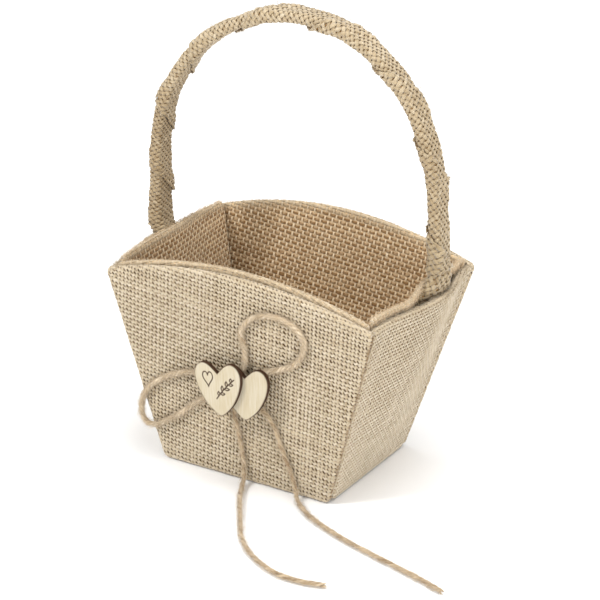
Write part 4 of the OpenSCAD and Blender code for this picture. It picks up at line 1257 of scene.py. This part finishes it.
def wood_material():
    m, nt, bsdf = node_material("laser_cut_plywood")
    at = nt.nodes.new("ShaderNodeAttribute"); at.attribute_name = "flat"
    mp = nt.nodes.new("ShaderNodeMapping"); mp.inputs["Scale"].default_value = (1.5, 0.10, 0.3)
    mp.inputs["Rotation"].default_value = (0, 0, math.radians(12))
    nt.links.new(at.outputs["Vector"], mp.inputs[0])
    g = nt.nodes.new("ShaderNodeTexNoise"); g.inputs["Scale"].default_value = 1.0; g.inputs["Detail"].default_value = 5; g.inputs["Roughness"].default_value = 0.6
    nt.links.new(mp.outputs[0], g.inputs["Vector"])
    r = ramp(nt, [(0.25, srgb(179, 165, 139)), (0.5, srgb(189, 179, 157)), (0.8, srgb(198, 190, 172))])
    nt.links.new(g.outputs[0], r.inputs[0])
    mp2 = nt.nodes.new("ShaderNodeMapping"); mp2.inputs["Scale"].default_value = (0.12, 0.06, 0.3)
    nt.links.new(at.outputs["Vector"], mp2.inputs[0])
    sl = nt.nodes.new("ShaderNodeTexNoise"); sl.inputs["Scale"].default_value = 1.0; sl.inputs["Detail"].default_value = 1
    nt.links.new(mp2.outputs[0], sl.inputs["Vector"])
    rs = ramp(nt, [(0.3, (0.93, 0.90, 0.84)), (0.7, (1, 1, 1))])
    nt.links.new(sl.outputs[0], rs.inputs[0])
    base = mix_color(nt, "MULTIPLY", 1.0, r.outputs[0], rs.outputs[0])
    bu = nt.nodes.new("ShaderNodeAttribute"); bu.attribute_name = "burn"
    n2 = nt.nodes.new("ShaderNodeTexNoise"); n2.inputs["Scale"].default_value = 1.6; n2.inputs["Detail"].default_value = 3
    nt.links.new(at.outputs["Vector"], n2.inputs["Vector"])
    br = ramp(nt, [(0.3, srgb(38, 22, 10)), (0.7, srgb(74, 46, 24))])
    nt.links.new(n2.outputs[0], br.inputs[0])
    col = mix_color(nt, "MIX", bu.outputs["Fac"], base, br.outputs[0])
    nt.links.new(col, bsdf.inputs["Base Color"])
    rr = nt.nodes.new("ShaderNodeMapRange"); rr.inputs["To Min"].default_value = 0.5; rr.inputs["To Max"].default_value = 0.75
    nt.links.new(g.outputs[0], rr.inputs[0]); nt.links.new(rr.outputs[0], bsdf.inputs["Roughness"])
    b = nt.nodes.new("ShaderNodeBump"); b.inputs["Strength"].default_value = 0.15; b.inputs["Distance"].default_value = 0.0001
    nt.links.new(g.outputs[0], b.inputs["Height"]); nt.links.new(b.outputs[0], bsdf.inputs["Normal"])
    bsdf.inputs["Specular IOR Level"].default_value = 0.35
    return m


WOOD = wood_material()


def small_heart(cx, cy, w, h, turn):
    t = np.linspace(0, 2 * PI, 41)
    x = 16 * np.sin(t) ** 3
    y = 13 * np.cos(t) - 5 * np.cos(2 * t) - 2 * np.cos(3 * t) - np.cos(4 * t) + 2.5
    c, s = math.cos(math.radians(turn)), math.sin(math.radians(turn))
    P = np.stack([x * w / 32, y * h / 29], 1)
    return np.stack([cx + P[:, 0] * c - P[:, 1] * s, cy + P[:, 0] * s + P[:, 1] * c], 1)


def sprig(a, b):
    """A stem with pairs of small leaves."""
    a, b = np.array(a, float), np.array(b, float)
    d = b - a
    L = np.linalg.norm(d)
    d /= L
    n = np.array([-d[1], d[0]])
    t = np.linspace(0, 1, 15)
    out = [a + np.outer(t * L, d) + np.outer(0.45 * np.sin(t * PI), n)]
    for k, (at, side, ln) in enumerate(((0.14, 1, 2.3), (0.24, -1, 2.6), (0.36, 1, 2.9), (0.48, -1, 3.0), (0.60, 1, 2.8), (0.72, -1, 2.5), (0.84, 1, 2.1))):
        p = a + d * L * at + n * 0.45 * math.sin(at * PI)
        u = d * math.cos(0.75) + n * side * math.sin(0.75)
        v = np.array([-u[1], u[0]])
        s = np.linspace(0, 1, 9)
        for w in (0.42, -0.42):
            out.append(p + np.outer(s * ln, u) + np.outer(w * np.sin(s * PI) * 1.5, v))
    return out


heart_mesh("heart_back_wood", -57.3 - 0.0, 8.0, 56.4, 3.0, [], "heart_back")
heart_mesh("heart_front_wood", -60.0 - 0.0, -5.2, 56.4, 8.0, [small_heart(-5.7, 4.3, 5.8, 8.0, 0.0)] + sprig((-1.6, -5.6), (9.4, 5.2)), "heart_front")


# ---------------------------------------------------------------- boards, strip and glue, carried over from the CAD
def plain_material(name, dark, light, scale, rough, bump=0.3, stretch=(1, 1, 1), spec=0.3):
    m, nt, bsdf = node_material(name)
    co = nt.nodes.new("ShaderNodeTexCoord")
    mp = nt.nodes.new("ShaderNodeMapping"); mp.inputs["Scale"].default_value = stretch
    nt.links.new(co.outputs["Object"], mp.inputs[0])
    n = nt.nodes.new("ShaderNodeTexNoise"); n.inputs["Scale"].default_value = scale; n.inputs["Detail"].default_value = 5
    n.inputs["Roughness"].default_value = 0.65
    nt.links.new(mp.outputs[0], n.inputs["Vector"])
    r = ramp(nt, [(0.3, dark), (0.7, light)])
    nt.links.new(n.outputs[0], r.inputs[0]); nt.links.new(r.outputs[0], bsdf.inputs["Base Color"])
    rr = nt.nodes.new("ShaderNodeMapRange")
    rr.inputs["To Min"].default_value = rough - 0.08; rr.inputs["To Max"].default_value = min(rough + 0.08, 1)
    nt.links.new(n.outputs[0], rr.inputs[0]); nt.links.new(rr.outputs[0], bsdf.inputs["Roughness"])
    b = nt.nodes.new("ShaderNodeBump"); b.inputs["Strength"].default_value = bump; b.inputs["Distance"].default_value = 0.0002
    nt.links.new(n.outputs[0], b.inputs["Height"]); nt.links.new(b.outputs[0], bsdf.inputs["Normal"])
    bsdf.inputs["Specular IOR Level"].default_value = spec
    return m


GREY_BOARD = plain_material("grey_board_pulp", srgb(178, 165, 146), srgb(200, 188, 170), 900, 0.85)
STRIP = plain_material("handle_strip_wood", srgb(190, 160, 118), srgb(222, 198, 158), 500, 0.7, stretch=(0.2, 1, 0.2))
GLUE = plain_material("hot_glue", srgb(214, 208, 190), srgb(232, 228, 214), 120, 0.28, bump=0.1, spec=0.5)
for name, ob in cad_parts.items():
    m = GREY_BOARD if name.endswith("_board") else STRIP if name == "handle_core" else GLUE if name.endswith("_glue") else None
    if m is not None:
        ob.data.materials.clear()
        ob.data.materials.append(m)


# ---------------------------------------------------------------- floor, lights, world
def studio():
    import bmesh
    me = bpy.data.meshes.new("floor")
    bm = bmesh.new()
    bmesh.ops.create_grid(bm, x_segments=2, y_segments=2, size=4.0)
    bm.to_mesh(me); bm.free()
    floor = bpy.data.objects.new("floor", me)
    bpy.context.scene.collection.objects.link(floor)
    floor.location = (0, 0, -0.0003)
    m, nt, bsdf = node_material("floor_pale")
    bsdf.inputs["Base Color"].default_value = (0.93, 0.93, 0.93, 1)
    bsdf.inputs["Roughness"].default_value = 0.9
    bsdf.inputs["Specular IOR Level"].default_value = 0.1
    me.materials.append(m)
    w = bpy.data.worlds.new("studio")
    bpy.context.scene.world = w
    w.use_nodes = True
    bg = w.node_tree.nodes.get("Background")
    bg.inputs[0].default_value = (1, 1, 1, 1)
    bg.inputs[1].default_value = 0.6

    def area(name, loc, size, energy, color=(1, 1, 1)):
        from mathutils import Vector
        l = bpy.data.lights.new(name, "AREA")
        l.shape, l.size, l.energy, l.color = "SQUARE", size, energy, color
        o = bpy.data.objects.new(name, l)
        bpy.context.scene.collection.objects.link(o)
        o.location = loc
        o.rotation_euler = (Vector((0, 0, 0.08)) - Vector(loc)).to_track_quat("-Z", "Y").to_euler()
    area("key", (-0.75, -1.25, 1.35), 0.42, 23)
    area("top", (0.35, 0.1, 1.85), 1.2, 26)
    area("fill", (1.5, -0.8, 0.22), 0.9, 17)
    bpy.context.scene.view_settings.view_transform = "Standard"
    bpy.context.scene.view_settings.look = "None"


studio()
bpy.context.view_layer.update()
